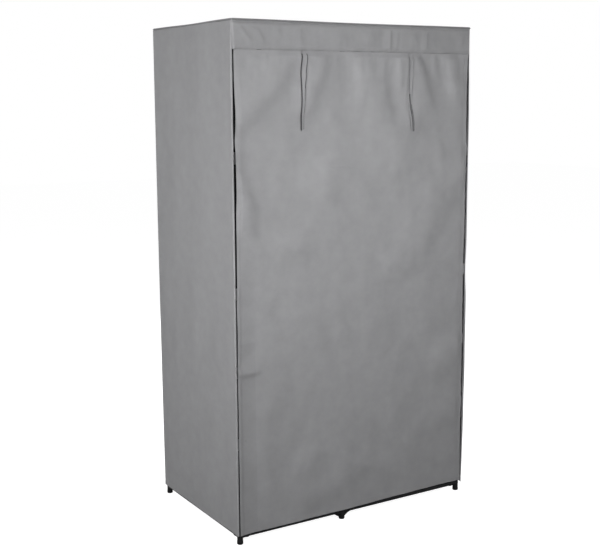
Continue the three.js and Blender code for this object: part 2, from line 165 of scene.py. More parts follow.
def folds(x, z, rows):
    """Sum of soft folds. A row, in millimetres: the ridge's widths to the left and the right, its lift,
    which ends fade (a the first, b the last), and the x and z of each point of its line. The sides are
    told looking at the cloth, for a line that runs down."""
    total = 0.0
    for left, right, lift, ends, *line in rows:
        d, share, to_right = distance_to_line(x, z, line)
        if "a" in ends:
            lift = lift * smooth(share / 0.35)
        if "b" in ends:
            lift = lift * smooth((1 - share) / 0.5)
        # a smooth change of width across the ridge keeps its crest round
        lean = 0.5 + 0.5 * np.tanh(to_right / (0.25 * (left + right)))
        total = total + lift * bell(d / mix(left, right, lean))
    return total * MM


# Meshes
def in_scene(name, data):
    made = bpy.data.objects.new(name, data)
    bpy.context.scene.collection.objects.link(made)
    return made


def evaluated_mesh(source):
    """A plain mesh of what an object's modifiers make."""
    bpy.context.view_layer.update()
    return bpy.data.meshes.new_from_object(source.evaluated_get(bpy.context.evaluated_depsgraph_get()))


def add_object(name, points, faces, materials, slots=None, uv=None, normals=None):
    mesh = bpy.data.meshes.new(name)
    sizes = np.array([len(face) for face in faces])
    corners = np.concatenate(faces)
    mesh.vertices.add(len(points))
    mesh.vertices.foreach_set("co", np.asarray(points, np.float32).ravel())
    mesh.loops.add(len(corners))
    mesh.loops.foreach_set("vertex_index", corners.astype(np.int32))
    mesh.polygons.add(len(sizes))
    mesh.polygons.foreach_set("loop_start", (np.cumsum(sizes) - sizes).astype(np.int32))
    mesh.polygons.foreach_set("loop_total", sizes.astype(np.int32))
    mesh.polygons.foreach_set("use_smooth", np.ones(len(sizes), bool))
    for material in materials:
        mesh.materials.append(material)
    if slots is not None:
        mesh.polygons.foreach_set("material_index", np.asarray(slots, np.int32))
    if uv is not None:
        layer = mesh.uv_layers.new(name="cloth")
        layer.data.foreach_set("uv", np.asarray(uv, np.float32)[corners].ravel())
    mesh.update(calc_edges=True)
    mesh.validate()
    if normals is not None:
        mesh.normals_split_custom_set(normals)
    else:
        mesh.set_sharp_from_angle(angle=SHARP)
    return in_scene(name, mesh)


def normals_towards(face, way, at=None):
    """Unit normals of a grid of points, on the side that faces a way at one point, or else midway."""
    normal = np.cross(np.gradient(face, axis=1), np.gradient(face, axis=0))
    normal = normal / np.linalg.norm(normal, axis=2, keepdims=True)
    at = at or (face.shape[0] // 2, face.shape[1] // 2)
    return normal if normal[at] @ np.asarray(way, float) > 0 else -normal


def cloth_sheet(name, face, normal, uv, materials, thickness=CLOTH):
    """A thin closed sheet. face and normal are rows of points on its outer side, and uv is in metres."""
    rows, columns = face.shape[:2]
    count = rows * columns
    points = np.concatenate([face.reshape(-1, 3), (face - normal * thickness).reshape(-1, 3)])
    at = np.arange(count).reshape(rows, columns)
    front = np.stack([at[:-1, :-1], at[:-1, 1:], at[1:, 1:], at[1:, :-1]], -1).reshape(-1, 4)
    rim = np.concatenate([np.stack(pair, 1) for pair in (
        (at[0, 1:], at[0, :-1]), (at[-1, :-1], at[-1, 1:]), (at[:-1, 0], at[1:, 0]), (at[1:, -1], at[:-1, -1]))])
    r, c = rows // 2, columns // 2
    if np.cross(face[r, c] - face[r, c - 1], face[r, c] - face[r - 1, c]) @ normal[r, c] < 0:
        front, rim = front[:, ::-1], rim[:, ::-1]
    rim = np.concatenate([rim, rim[:, ::-1] + count], 1)
    outward = np.cross(points[rim[:, 1]] - points[rim[:, 0]], points[rim[:, 2]] - points[rim[:, 1]])
    outward /= np.maximum(np.linalg.norm(outward, axis=1, keepdims=True), 1e-12)
    flat = normal.reshape(-1, 3)
    normals = [flat[front.ravel()], -flat[front[:, ::-1].ravel()], np.repeat(outward, 4, axis=0)]
    return add_object(name, points, np.concatenate([front, front[:, ::-1] + count, rim]), materials,
                      uv=np.tile(uv.reshape(-1, 2), (2, 1)), normals=np.concatenate(normals))


def second_material(piece, where):
    """The faces whose middles where(x, y, z) picks take the piece's second material."""
    faces = piece.data.polygons
    middles = np.empty(len(faces) * 3, np.float32)
    faces.foreach_get("center", middles)
    faces.foreach_set("material_index", where(*middles.reshape(-1, 3).T).astype(np.int32))


def rings_mesh(rings, closed):
    """Points and faces for rings of points, with a lid at each end unless they close on themselves."""
    rings = np.asarray(rings, float)
    count, sides = rings.shape[:2]
    faces = []
    for k in range(count if closed else count - 1):
        a, b = k * sides, (k + 1) % count * sides
        faces += [(a + j, a + (j + 1) % sides, b + (j + 1) % sides, b + j) for j in range(sides)]
    if not closed:
        faces += [tuple(range(sides))[::-1], tuple(range((count - 1) * sides, count * sides))]
    return rings.reshape(-1, 3), faces


class Shells:
    """Closed shells gathered into one mesh. Profiles, outlines and thicknesses are in millimetres."""

    def __init__(self):
        self.points, self.faces, self.slots = [], [], []

    def add(self, points, faces, slot=0):
        total = sum(map(len, self.points))
        self.points.append(np.asarray(points, float))
        self.faces += [tuple(v + total for v in face) for face in faces]
        self.slots += [slot] * len(faces)
        return self

    def turned(self, start, direction, profile, sides=28, closed=True, slot=0):
        """A shape turned about an axis: profile rows are a distance along it and a radius."""
        turn = Vector((0, 0, 1)).rotation_difference(Vector(direction)).to_matrix()
        angles = np.arange(sides) / sides * 2 * math.pi
        rings = [np.stack([r * np.cos(angles), r * np.sin(angles), np.full(sides, t)], 1) for t, r in profile]
        rings = np.asarray(rings) * MM @ np.array(turn).T + np.asarray(start, float)
        return self.add(*rings_mesh(rings, closed), slot)

    def plate(self, outline, thickness, place):
        """A flat plate: place maps an outline point and a height through the plate to space."""
        layers = [[place(u * MM, v * MM, t * MM) for u, v in outline] for t in (-thickness / 2, thickness / 2)]
        return self.add(*rings_mesh(layers, closed=False))

    def finish(self, name, materials, bevel=0.0, uv=None):
        piece = add_object(name, np.concatenate(self.points), self.faces, materials, self.slots, uv)
        work = bmesh.new()
        work.from_mesh(piece.data)
        bmesh.ops.recalc_face_normals(work, faces=work.faces)
        work.to_mesh(piece.data)
        work.free()
        if bevel:
            rounding = piece.modifiers.new("edges", "BEVEL")
            rounding.width = bevel
            rounding.segments = 2
            rounding.limit_method = "ANGLE"
            rounding.angle_limit = math.radians(45)
            piece.data = evaluated_mesh(piece)
            piece.modifiers.clear()
        piece.data.set_sharp_from_angle(angle=SHARP)
        return piece


def join(main, other):
    """other becomes part of main's mesh, with its materials."""
    bpy.ops.object.select_all(action="DESELECT")
    for piece in (main, other):
        piece.select_set(True)
    bpy.context.view_layer.objects.active = main
    bpy.ops.object.join()
    return main


def set_on(body, slot, *pieces, replaces=None):
    """Pieces ride one body; the first of them may stand in for a node."""
    for piece in pieces:
        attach(piece, body)
    if replaces:
        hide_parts(replaces)


# Shader groups: each puts out values that a material plugs into its own shader
class Wires:
    """Short calls for the nodes of one tree."""

    def __init__(self, tree):
        self.tree = tree

    def node(self, kind, inputs=None, **settings):
        made = self.tree.nodes.new(kind)
        for key, value in settings.items():
            setattr(made, key, value)
        for key, value in (inputs or {}).items():
            self.plug(value, made.inputs[key])
        return made

    def plug(self, value, socket):
        if isinstance(value, bpy.types.NodeSocket):
            self.tree.links.new(value, socket)
        else:
            socket.default_value = value

    def math(self, operation, *values, clamp=False):
        return self.node("ShaderNodeMath", dict(enumerate(values)), operation=operation, use_clamp=clamp).outputs[0]

    def add(self, a, b, clamp=False):
        return self.math("ADD", a, b, clamp=clamp)

    def less(self, a, b):
        return self.math("SUBTRACT", a, b)

    def times(self, a, b):
        return self.math("MULTIPLY", a, b)

    def scaled(self, vector, factors):
        return self.node("ShaderNodeMapping", {"Vector": vector, "Scale": factors}).outputs[0]

    def noise(self, vector, scale, detail=2.0, roughness=0.5):
        return self.node("ShaderNodeTexNoise", {"Vector": vector, "Scale": scale, "Detail": detail,
                                                "Roughness": roughness}).outputs[0]

    def spread(self, value, low_in, high_in, low_out, high_out):
        return self.node("ShaderNodeMapRange", {"Value": value, "From Min": low_in, "From Max": high_in,
                                                "To Min": low_out, "To Max": high_out}).outputs[0]

    def tint(self, colour, factor):
        """colour times a number."""
        grey = self.node("ShaderNodeCombineColor", {0: factor, 1: factor, 2: factor}).outputs[0]
        return self.node("ShaderNodeMix", {0: 1.0, 6: colour, 7: grey}, data_type="RGBA",
                         blend_type="MULTIPLY").outputs[2]


def declare(tree, way, sockets):
    return [tree.interface.new_socket(name=label, in_out=way, socket_type="NodeSocket" + kind)
            for label, kind in sockets.items()]


def new_group(name, numbers):
    """A group from a place, a colour and named numbers to a colour, a roughness and a height."""
    group = bpy.data.node_groups.new(name, "ShaderNodeTree")
    declare(group, "INPUT", {"Place": "Vector", "Colour": "Color"})
    declare(group, "OUTPUT", {"Colour": "Color", "Roughness": "Float", "Height": "Float"})
    for socket, value in zip(declare(group, "INPUT", dict.fromkeys(numbers, "Float")), numbers.values()):
        socket.default_value = value
    return Wires(group), group.nodes.new("NodeGroupInput").outputs, group.nodes.new("NodeGroupOutput").inputs


def nonwoven_group():
    """Spun fibres bonded at rows of small points, with the cloudy density of such cloth."""
    w, given, gives = new_group("nonwoven_cloth", {"Point Spacing": 1.9 * MM, "Cloudiness": 0.24,
                                                   "Fibre Depth": 0.5, "Roughness": 0.86})
    place, cloudiness = given["Place"], given["Cloudiness"]
    # the bonding points, each row half a step aside
    cells = w.math("DIVIDE", 1.0, given["Point Spacing"])
    parts = w.node("ShaderNodeSeparateXYZ", {0: place}).outputs
    up = w.times(parts[1], cells)
    shift = w.times(w.math("MODULO", w.math("FLOOR", up), 2.0), 0.5)
    u = w.less(w.math("FRACT", w.add(w.times(parts[0], cells), shift)), 0.5)
    v = w.less(w.math("FRACT", up), 0.5)
    reach = w.math("SQRT", w.add(w.times(u, u), w.times(w.times(v, v), 2.2)))
    point = w.spread(reach, 0.2, 0.34, 1.0, 0.0)
    # fibres along and across, and two sizes of cloud
    fibres = w.add(w.noise(w.scaled(place, (1.0, 0.35, 1.0)), 1400.0, 3.0, 0.6),
                   w.noise(w.scaled(place, (0.35, 1.0, 1.0)), 1100.0, 3.0, 0.6))
    uneven = w.less(fibres, 1.0)
    cloud = w.noise(place, 24.0, 4.0, 0.62)
    drift = w.noise(w.scaled(place, (1.0, 0.25, 1.0)), 9.0)
    tone = w.add(w.times(w.less(cloud, 0.5), cloudiness), w.times(w.less(drift, 0.5), w.times(cloudiness, 0.8)))
    tone = w.less(w.add(tone, w.times(uneven, 0.16)), w.times(point, 0.045))
    w.plug(w.tint(given["Colour"], w.add(1.0, tone)), gives["Colour"])
    gloss = w.less(given["Roughness"], w.times(point, 0.14))
    w.plug(w.add(gloss, w.times(uneven, 0.12), clamp=True), gives["Roughness"])
    relief = w.less(w.times(fibres, given["Fibre Depth"]), w.times(point, 0.8))
    w.plug(w.add(relief, w.times(cloud, 0.9)), gives["Height"])
    return w.tree


def grain_group():
    """Fine grain of moulded plastic or powder coat, with faint scuffs."""
    w, given, gives = new_group("fine_grain", {"Grain Scale": 1500.0, "Roughness": 0.45, "Scuffs": 0.1})
    place = given["Place"]
    patch = w.noise(place, 60.0, 3.0, 0.6)
    scratch = w.noise(w.scaled(place, (1.0, 1.0, 0.06)), 900.0)
    mark = w.times(w.spread(scratch, 0.66, 0.78, 0.0, 1.0), given["Scuffs"])
    w.plug(w.tint(given["Colour"], w.add(w.add(0.9, w.times(patch, 0.22)), mark)), gives["Colour"])
    rough = w.add(given["Roughness"], w.times(w.less(patch, 0.5), 0.25))
    w.plug(w.add(rough, w.times(mark, 0.6), clamp=True), gives["Roughness"])
    w.plug(w.add(w.noise(place, given["Grain Scale"]), w.times(patch, 0.3)), gives["Height"])
    return w.tree


NONWOVEN = nonwoven_group()
GRAIN = grain_group()


def surface(name, group, colour, numbers, bump, depth, constants):
    """A material from a group. Cloth takes its place from its own measure, the rest from the object."""
    material = bpy.data.materials.new(name)
    material.use_nodes = True
    w = Wires(material.node_tree)
    shader = w.tree.nodes["Principled BSDF"]
    if group is NONWOVEN:
        place = w.node("ShaderNodeUVMap", uv_map="cloth").outputs[0]
    else:
        place = w.node("ShaderNodeTexCoord").outputs["Object"]
    pattern = w.node("ShaderNodeGroup", node_tree=group)
    for key, value in {"Place": place, "Colour": (*colour, 1), **numbers}.items():
        w.plug(value, pattern.inputs[key])
    gives = pattern.outputs
    lift = w.node("ShaderNodeBump", {"Height": gives["Height"], "Strength": bump, "Distance": depth})
    for key, value in {"Base Color": gives["Colour"], "Roughness": gives["Roughness"],
                       "Normal": lift.outputs[0], **constants}.items():
        w.plug(value, shader.inputs[key])
    return material


def cloth_surface(name, *colour):
    return surface(name, NONWOVEN, colour, {}, 0.55, 0.12 * MM,
                   {"Sheen Weight": 0.12, "Sheen Roughness": 0.5, "Specular IOR Level": 0.25})


def grain_surface(name, colour, scale, roughness, scuffs, bump, depth, constants):
    return surface(name, GRAIN, colour, {"Grain Scale": scale, "Roughness": roughness, "Scuffs": scuffs}, bump,
                   depth * MM, constants)


COVER_CLOTH = cloth_surface("grey_nonwoven", 0.300, 0.300, 0.308)
# painted shade: a darker cloth for the top's edge
TOP_EDGE_SHADE = cloth_surface("dark_edge_binding", 0.190, 0.190, 0.196)
# a darker cloth: the valance's own tone, and painted shade on the flap's lower left edge
DARKER_CLOTH_AND_SHADE = cloth_surface("grey_nonwoven_doubled", 0.286, 0.286, 0.293)
TIE_CLOTH = cloth_surface("grey_tie", 0.285, 0.285, 0.293)
BLACK = (0.008, 0.008, 0.009)
DULL = {"Specular IOR Level": 0.22}
THREAD = grain_surface("grey_thread", (0.25, 0.25, 0.258), 3000.0, 0.7, 0.0, 0.4, 0.1, {"Sheen Weight": 0.2})
# painted shade: near-black lines along the ties' edges, for the shadow gaps beside the tapes
TIE_EDGE_SHADE = grain_surface("painted_shade_tie_edge", (0.055, 0.055, 0.058), 3000.0, 0.8, 0.0, 0.4, 0.1, {})
PAD_FELT = grain_surface("grey_pad", (0.16, 0.16, 0.165), 2200.0, 0.92, 0.0, 1.0, 0.5, {"Sheen Weight": 0.5})
PLASTIC = grain_surface("black_moulded_plastic", BLACK, 1800.0, 0.5, 0.5, 0.35, 0.08, DULL)
POWDER_COAT = grain_surface("black_powder_coat", BLACK, 900.0, 0.42, 0.35, 0.3, 0.08, DULL)


# Stitches: short threads set along the seam lines
def stitch_tree():
    tree = bpy.data.node_groups.new("row_of_stitches", "GeometryNodeTree")
    declare(tree, "INPUT", {"Geometry": "Geometry", "Pitch": "Float", "Stitch Length": "Float",
                            "Thread Width": "Float", "Thread": "Material"})
    declare(tree, "OUTPUT", {"Geometry": "Geometry"})
    w = Wires(tree)
    given = w.node("NodeGroupInput").outputs
    width = given["Thread Width"]
    marks = w.node("GeometryNodeResampleCurve", {"Curve": given["Geometry"], "Length": given["Pitch"]}, mode="LENGTH")
    tangent = w.node("GeometryNodeInputTangent").outputs[0]
    along = w.node("FunctionNodeAlignRotationToVector", {"Vector": tangent}, axis="X")
    bead = w.node("GeometryNodeMeshUVSphere", {"Segments": 6, "Rings": 4, "Radius": 0.5})
    bead = w.node("GeometryNodeSetShadeSmooth", {"Geometry": bead.outputs[0]})
    size = w.node("ShaderNodeCombineXYZ", {0: given["Stitch Length"], 1: width, 2: width})
    rows = w.node("GeometryNodeInstanceOnPoints", {"Points": marks.outputs[0], "Instance": bead.outputs[0],
                                                   "Rotation": along.outputs[0], "Scale": size.outputs[0]})
    solid = w.node("GeometryNodeRealizeInstances", {"Geometry": rows.outputs[0]})
    dressed = w.node("GeometryNodeSetMaterial", {"Geometry": solid.outputs[0], "Material": given["Thread"]})
    w.node("NodeGroupOutput", {0: dressed.outputs[0]})
    return tree


STITCHES = stitch_tree()
STITCH_PROUD = 0.1 * MM


def stitched(name, lines, pitch=4.2, length=3.2, width=0.55, thread=THREAD):
    """One mesh of stitches along lines of points; their measures are in millimetres."""
    curve = bpy.data.curves.new(name, "CURVE")
    curve.dimensions = "3D"
    for line in lines:
        spline = curve.splines.new("POLY")
        spline.points.add(len(line) - 1)
        flat = np.concatenate([np.asarray(line, float), np.ones((len(line), 1))], 1)
        spline.points.foreach_set("co", flat.astype(np.float32).ravel())
    path = in_scene(name + "_path", curve)
    rows = path.modifiers.new("stitches", "NODES")
    rows.node_group = STITCHES
    given = {"Pitch": pitch * MM, "Stitch Length": length * MM, "Thread Width": width * MM, "Thread": thread}
    for item in STITCHES.interface.items_tree:
        if item.name in given:
            rows[item.identifier] = given[item.name]
    mesh = evaluated_mesh(path)
    mesh.name = name
    bpy.data.objects.remove(path)
    bpy.data.curves.remove(curve)
    if not mesh.materials:
        mesh.materials.append(thread)
    return in_scene(name, mesh)


def seam_on(face, normal):
    """A seam line just proud of a row of points, short of its ends."""
    return face[2:-2] + normal[2:-2] * STITCH_PROUD


def seam_at(face, normal, z):
    """The seam line across a panel at a height."""
    row = int(np.argmin(np.abs(face[:, 0, 2] - z)))
    return seam_on(face[row], normal[row])


# Flap: one surface, cut midway between the bands' folds
FLAP_FOLDS = [
    (32, 49, 8.0, "b", -4, 1527, 17, 1386, -7, 1283),
    (17, 10, -3.2, "b", 405, 1518, 405, 1442),
    (28, 28, 11.4, "b", 359, 1515, 369, 1432, 431, 1325),
    (44, 32, 13.8, "b", -133, 1513, -163, 1450, -194, 1356, -225, 1250),
    (28, 16, 8.4, "b", 150, 1512, 150, 1375),
    (18, 15, 3.6, "b", 293, 1512, 307, 1419),
    (14, 14, -2.6, "b", 251, 1511, 270, 1435),
    (11, 14, 3.2, "b", 118, 1510, 114, 1426),
    (51, 34, 13.8, "", -188, 1509, -257, 1490, -308, 1417, -358, 1371, -451, 1294),
    (23, 14, -3.0, "b", 55, 1509, 54, 1413),
    (80, 30, 12.1, "b", 203, 1506, 235, 1420, 275, 1320, 296, 1265),
    (31, 7, 4.8, "b", 175, 1505, 174, 1312),
    (72, 32, 11.6, "b", 80, 1490, 73, 1393, 130, 1221),
    (52, 52, -10.9, "ab", -189, 1361, -154, 1118),
    (67, 70, 11.6, "ab", 138, 1322, 151, 1070),
    (80, 74, 9.4, "ab", -103, 1258, -144, 1164, -79, 961),
    (80, 29, 5.8, "ab", 308, 1256, 316, 1086),
    (34, 29, 13.4, "b", -452, 1200, -441, 1155, -428, 1120, -415, 1083, -402, 1047, -399, 1000, -388, 900),
    (80, 57, 8.6, "b", 433, 1134, 330, 1069, 281, 959, 210, 893, 89, 748),
    (80, 57, 5.9, "ab", -241, 1002, -216, 844),
    (59, 80, -4.5, "ab", 199, 825, 208, 738, 204, 576),
    (27, 59, 4.6, "ab", -70, 787, -65, 559),
    (43, 41, 1.3, "ab", -145, 782, -116, 702, -96, 600),
    (80, 40, -3.5, "ab", -341, 705, -372, 568, -324, 405),
    (80, 80, 6.0, "ab", 419, 618, 376, 482, 277, 380),
    (63, 50, -0.9, "ab", -163, 613, -151, 477, -190, 350),
    (80, 80, -1.9, "ab", 32, 589, 18, 429, 50, 307),
    (15, 42, 8.0, "b", -450, 553, -325, 550),
    (80, 80, 6.0, "ab", 393, 354, 308, 211),
    (49, 31, -1.6, "ab", 182, 341, 165, 189),
    (70, 96, 3.3, "ab", -125, 293, -142, 161),
    (96, 68, 3.4, "ab", -144, 249, -236, 145, -277, 52),
    (96, 64, 3.3, "a", -33, 245, -64, 133, -84, 117),
    (70, 66, 1.9, "ab", 62, 205, 55, 102),
    (14, 26, 3.9, "ab", 212, 1345, 217, 1300, 223, 1250),
]
FLAP_DIMPLES = ripples(3, 26, 0.075, 0.20)
FLAP_PINCH = ripples(8, 22, 0.035, 0.09, lean=0.35, spread=1.8)
SEAM_GATHER = ripples(21, 14, 0.018, 0.06, spread=0.5)
FLAP_FRONT = 15 * MM  # how far the folds may stand out, and lie back
FLAP_REAR = 3.2 * MM
FOLDS_BACK = 3.0 * MM
SIDE_HEM = 12 * MM
LOWER_HEM = 16 * MM
HEM_LEVEL = 36
# the band of painted shade along the flap's lower left edge: its width, and its top
LEFT_SHADE_WIDTH = 58 * MM
LEFT_SHADE_TOP = 640 * MM
# The ties' stitching draws the cloth in behind them
TIE_GROOVES = [[(-207, 1505), (-208, 1420), (-210, 1272)], [(195, 1490), (195, 1380), (206, 1262)]]
# The side edges, from the hem up: height, and how far the left and the right edge lie from the middle
EDGE_HEIGHTS = [36, 120, 240, 327, 440, 553, 680, 760, 830, 950, 1060, 1200, 1290, 1380, 1450, 1512]
LEFT_EDGE = [441.0, 441.7, 441.2, 442.2, 441.7, 442.6, 440.8, 442.0, 439.8, 438.8, 440.4, 441.2, 440.8, 439.4,
             440.2, 440.6]
RIGHT_EDGE = [440.0, 438.5, 436.5, 437.5, 437.0, 437.4, 435.3, 434.6, 435.0, 437.3, 436.6, 438.6, 435.2, 434.6,
              435.2, 437.5]
# The lower hem: place across, and its height
HEM_PLACES = [-437, -340, -200, -60, 40, 150, 260, 350, 420, 437]
HEM_HEIGHTS = [33.0, 35.0, 36.0, 36.5, 38.0, 40.0, 41.5, 42.5, 41.5, 40.0]


def flap_lift(x, z):
    """How far the flap's face stands before its plane."""
    below = FLAP_TOP - z
    off_seam = smooth(below / 0.020)
    low_down = smooth((1.05 - z) / 0.5)
    body = folds(x, z, FLAP_FOLDS) - FOLDS_BACK + 0.4 * MM * smooth(below / 0.1)
    body = body + MM * smooth(below / 0.03) * (FLAP_DIMPLES(x, z) + 0.14 * FLAP_PINCH(x, z))
    body = body + 0.55 * MM * SEAM_GATHER(x, z) * np.exp(-below / 0.09)
    for line in TIE_GROOVES:
        d, share, _ = distance_to_line(x, z, line)
        body = body - 1.2 * MM * bell(d / 9) * smooth((1 - share) / 0.1)
    reach = np.where(body > 0, FLAP_FRONT, FLAP_REAR)
    body = reach * np.tanh(body / reach)
    # the hem lies back; beside the left one the cloth dips more, most of all low down
    body = body - 2.2 * MM * low_down * bell((x + 0.392) / 0.030)
    painted_shade = np.where(x < 0, 0.85 * np.maximum(body, 0) - MM * mix(2.6, 1.0, low_down), -FLAP_REAR)
    inside = smooth((FLAP_HALF - 4 * MM - np.abs(x)) / np.where(x < 0, 0.012, 0.024))
    lift = mix(painted_shade, body, inside) * mix(0.18, 1.0, off_seam)
    in_side_hem = np.abs(x) - (FLAP_HALF - SIDE_HEM)
    in_lower_hem = FLAP_BOTTOM + LOWER_HEM - z
    groove = bell(in_side_hem / 1.3e-3) * off_seam + bell(in_lower_hem / 1.3e-3)
    doubled = smooth(np.maximum(in_side_hem, in_lower_hem) / 1e-3)
    return lift + MM * (0.3 * doubled - 0.35 * groove - 1.2 * np.exp(-below / 8e-3))


def flap_surface(u, z):
    """Points of the face; u runs from -1 to 1 between the side edges."""
    left = -MM * table(z / MM, EDGE_HEIGHTS, LEFT_EDGE)
    right = MM * table(z / MM, EDGE_HEIGHTS, RIGHT_EDGE)
    x = mix(left, right, (u + 1) / 2)
    flat_x = u * FLAP_HALF
    low_down = smooth((0.20 - (z - FLAP_BOTTOM)) / 0.20)
    raised = MM * (table(flat_x / MM, HEM_PLACES, HEM_HEIGHTS) - HEM_LEVEL) * low_down
    lift = flap_lift(mix(flat_x, x, smooth((1 - np.abs(u)) / 0.12)), z) + 1.0 * MM * low_down * (1 - u * u)
    return np.stack([x, FLAP_Y - lift, z + raised], -1)


def flap_seam(u, z):
    return flap_surface(*np.broadcast_arrays(u, z)) - [0, STITCH_PROUD, 0]


def edge_spread(count, border=0.03):
    """Shares from -1 to 1, closer together beside the ends."""
    t = np.linspace(-1, 1, count)
    return t + border * np.sin(math.pi * t)


def make_flap():
    cuts = [FLAP_TOP, *(FLAP_TOP - (k + 0.5) * BAND for k in range(FLAP_BANDS)), FLAP_BOTTOM]
    heights, marks = [FLAP_TOP], [0]
    for top, bottom in zip(cuts, cuts[1:]):
        steps = max(2, round((top - bottom) / CLOTH_STEP))
        heights += list(np.linspace(top, bottom, steps + 1)[1:])
        marks.append(len(heights) - 1)
    u, z = np.meshgrid(edge_spread(round(2 * FLAP_HALF / CLOTH_STEP) + 1), heights)
    face = flap_surface(u, z)
    normal = normals_towards(face, (0, -1, 0))
    uv = np.stack([u * FLAP_HALF, z], -1)
    seam_u = 1 - (SIDE_HEM - 1 * MM) / FLAP_HALF
    seam_z = np.arange(FLAP_BOTTOM + 4 * MM, FLAP_TOP - 4 * MM, 6 * MM)
    side_seams = [flap_seam(side * seam_u, seam_z) for side in (-1, 1)]
    for k, (top, bottom) in enumerate(zip(cuts, cuts[1:])):
        rows = slice(marks[k], marks[k + 1] + 1)
        name = f"flap_cloth_{k + 1}"
        piece = cloth_sheet(name, face[rows], normal[rows], uv[rows], [COVER_CLOTH, DARKER_CLOTH_AND_SHADE])
        # painted shade: along its lower left edge, where the pads are sewn on, the flap takes a darker cloth for the
        # side's shadow there
        second_material(piece, lambda x, y, z: (x < LEFT_SHADE_WIDTH - FLAP_HALF) & (z < LEFT_SHADE_TOP))
        lines = [seam[(seam[:, 2] > bottom - 1 * MM) & (seam[:, 2] <= top + 5 * MM)] for seam in side_seams]
        if k == FLAP_BANDS:
            lines.append(flap_seam(np.linspace(-0.985, 0.985, 160), bottom + LOWER_HEM - 1 * MM))
        piece = join(piece, stitched(name + "_stitches", lines))
        if k == 0:
            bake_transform(piece)
        elif k == FLAP_BANDS:
            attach(piece, f"flap_{k}")
        else:
            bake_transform(piece)
        if k < FLAP_BANDS:
            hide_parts(f"flap_band_{k + 1}")


# Cover panels that follow a rounded corner, told by a path in plan
def rounded_path(corners, radius, step):
    """Points and normals to the left of straight runs joined by arcs, and the length run so far."""
    corners = [Vector(corner) for corner in corners]
    points, normals = [], []

    def straight(a, b):
        way = (b - a).normalized()
        for t in np.linspace(0, 1, max(2, round((b - a).length / step) + 1)):
            points.append(a.lerp(b, float(t)))
            normals.append(Vector((-way.y, way.x)))

    start = corners[0]
    for before, corner, after in zip(corners, corners[1:], corners[2:]):
        into, away = (corner - before).normalized(), (after - corner).normalized()
        near = corner - into * radius
        straight(start, near)
        hub = near + away * radius
        for t in np.linspace(0, 1, 9)[1:-1]:
            turn = Matrix.Rotation(-into.angle_signed(away) * float(t), 2)
            points.append(hub + turn @ (near - hub))
            normals.append(turn @ Vector((-into.y, into.x)))
        start = corner + away * radius
    straight(start, corners[-1])
    points, normals = np.array(points), np.array(normals)
    keep = np.concatenate([[True], np.linalg.norm(np.diff(points, axis=0), axis=1) > 1e-7])
    points, normals = points[keep], normals[keep]
    run = np.concatenate([[0], np.cumsum(np.linalg.norm(np.diff(points, axis=0), axis=1))])
    return points, normals, run


def hang_panel(names, path, seed, start, painted_shade, rows_step, hem_seed, corner_run):
    """A hanging panel along a path, in soft upright folds that only stand outward; edge(run, z) stands
    out further. Its own name and its stitches'."""
    points, normals, run = path
    width = run[-1]
    fine = ripples(seed, 22, 0.08, 0.22)
    broad = ripples(seed + 1, 8, 0.3, 0.8, spread=1.2)
    crease = ripples(seed + 2, 20, 0.05, 0.16, lean=0.5, spread=1.6)
    wander = ripples(hem_seed, 6, 0.12, 0.4)
    share = np.linspace(0, 1, round((PANEL_TOP - SIDE_HEM_Z) / (CLOTH_STEP * rows_step)))
    s, t = np.meshgrid(run, share - 0.02 * np.sin(2 * math.pi * share))
    bottom = SIDE_HEM_Z + MM * (3.5 + 0.7 * wander(run, 0.2))
    z = mix(bottom, PANEL_TOP, t)
    u, v = s / width, (z - SIDE_HEM_Z) / (PANEL_TOP - SIDE_HEM_Z)
    fade = smooth(np.minimum(u, 1 - u) / 0.16) * smooth(np.minimum(v * 1.6, 1 - v) / 0.1)
    waves = sum(height * np.sin(2 * math.pi * (count * u + start + v * height))
                for count, height in ((2.5, 0.6), (4.2, 0.4)))
    swell = 1.6 * (1 + 0.7 * waves) + 0.5 * fine(s, z) + 0.6 * broad(s, z) + 0.16 * np.abs(crease(s, z))
    in_hem = bottom + LOWER_HEM - z
    out = MM * (0.6 + fade * swell - 0.35 * bell(in_hem / 1.4e-3) + 0.3 * smooth(in_hem / 1e-3)) + painted_shade(s, z)
    for corner in corner_run:
        out = out - 0.9 * MM * bell((s - corner) / 2.2e-3)
    face = np.concatenate([points + normals * out[..., None], z[..., None]], 2)
    normal = normals_towards(face, (*normals[len(run) // 2], 0))
    piece = cloth_sheet(names[0], face, normal, np.stack([s, z], -1), [COVER_CLOTH])
    threads = stitched(names[1], [seam_at(face, normal, SIDE_HEM_Z + 18 * MM)])
    return piece, threads


FRONT_TURN = 2 * MM  # how far a side's hem turns round the front corner, and round the back one
BACK_TURN = 7 * MM
# How far a side's front edge stands out between its closures: height, then the right and the left side
FLARE_HEIGHTS = [28, 120, 240, 327, 440, 553, 680, 795, 900, 1060, 1200, 1300, 1400, 1480, 1590]
FLARE = {"right": [4.0, 6.2, 8.5, 9.0, 10.5, 9.5, 9.3, 4.0, 6.8, 6.0, 5.8, 5.8, 3.8, 1.4, 0.0],
         "left": [1.6, 3.0, 4.4, 3.6, 3.4, 1.8, 2.4, 1.2, 2.4, 2.2, 1.2, 2.2, 2.6, 3.0, 0.6]}


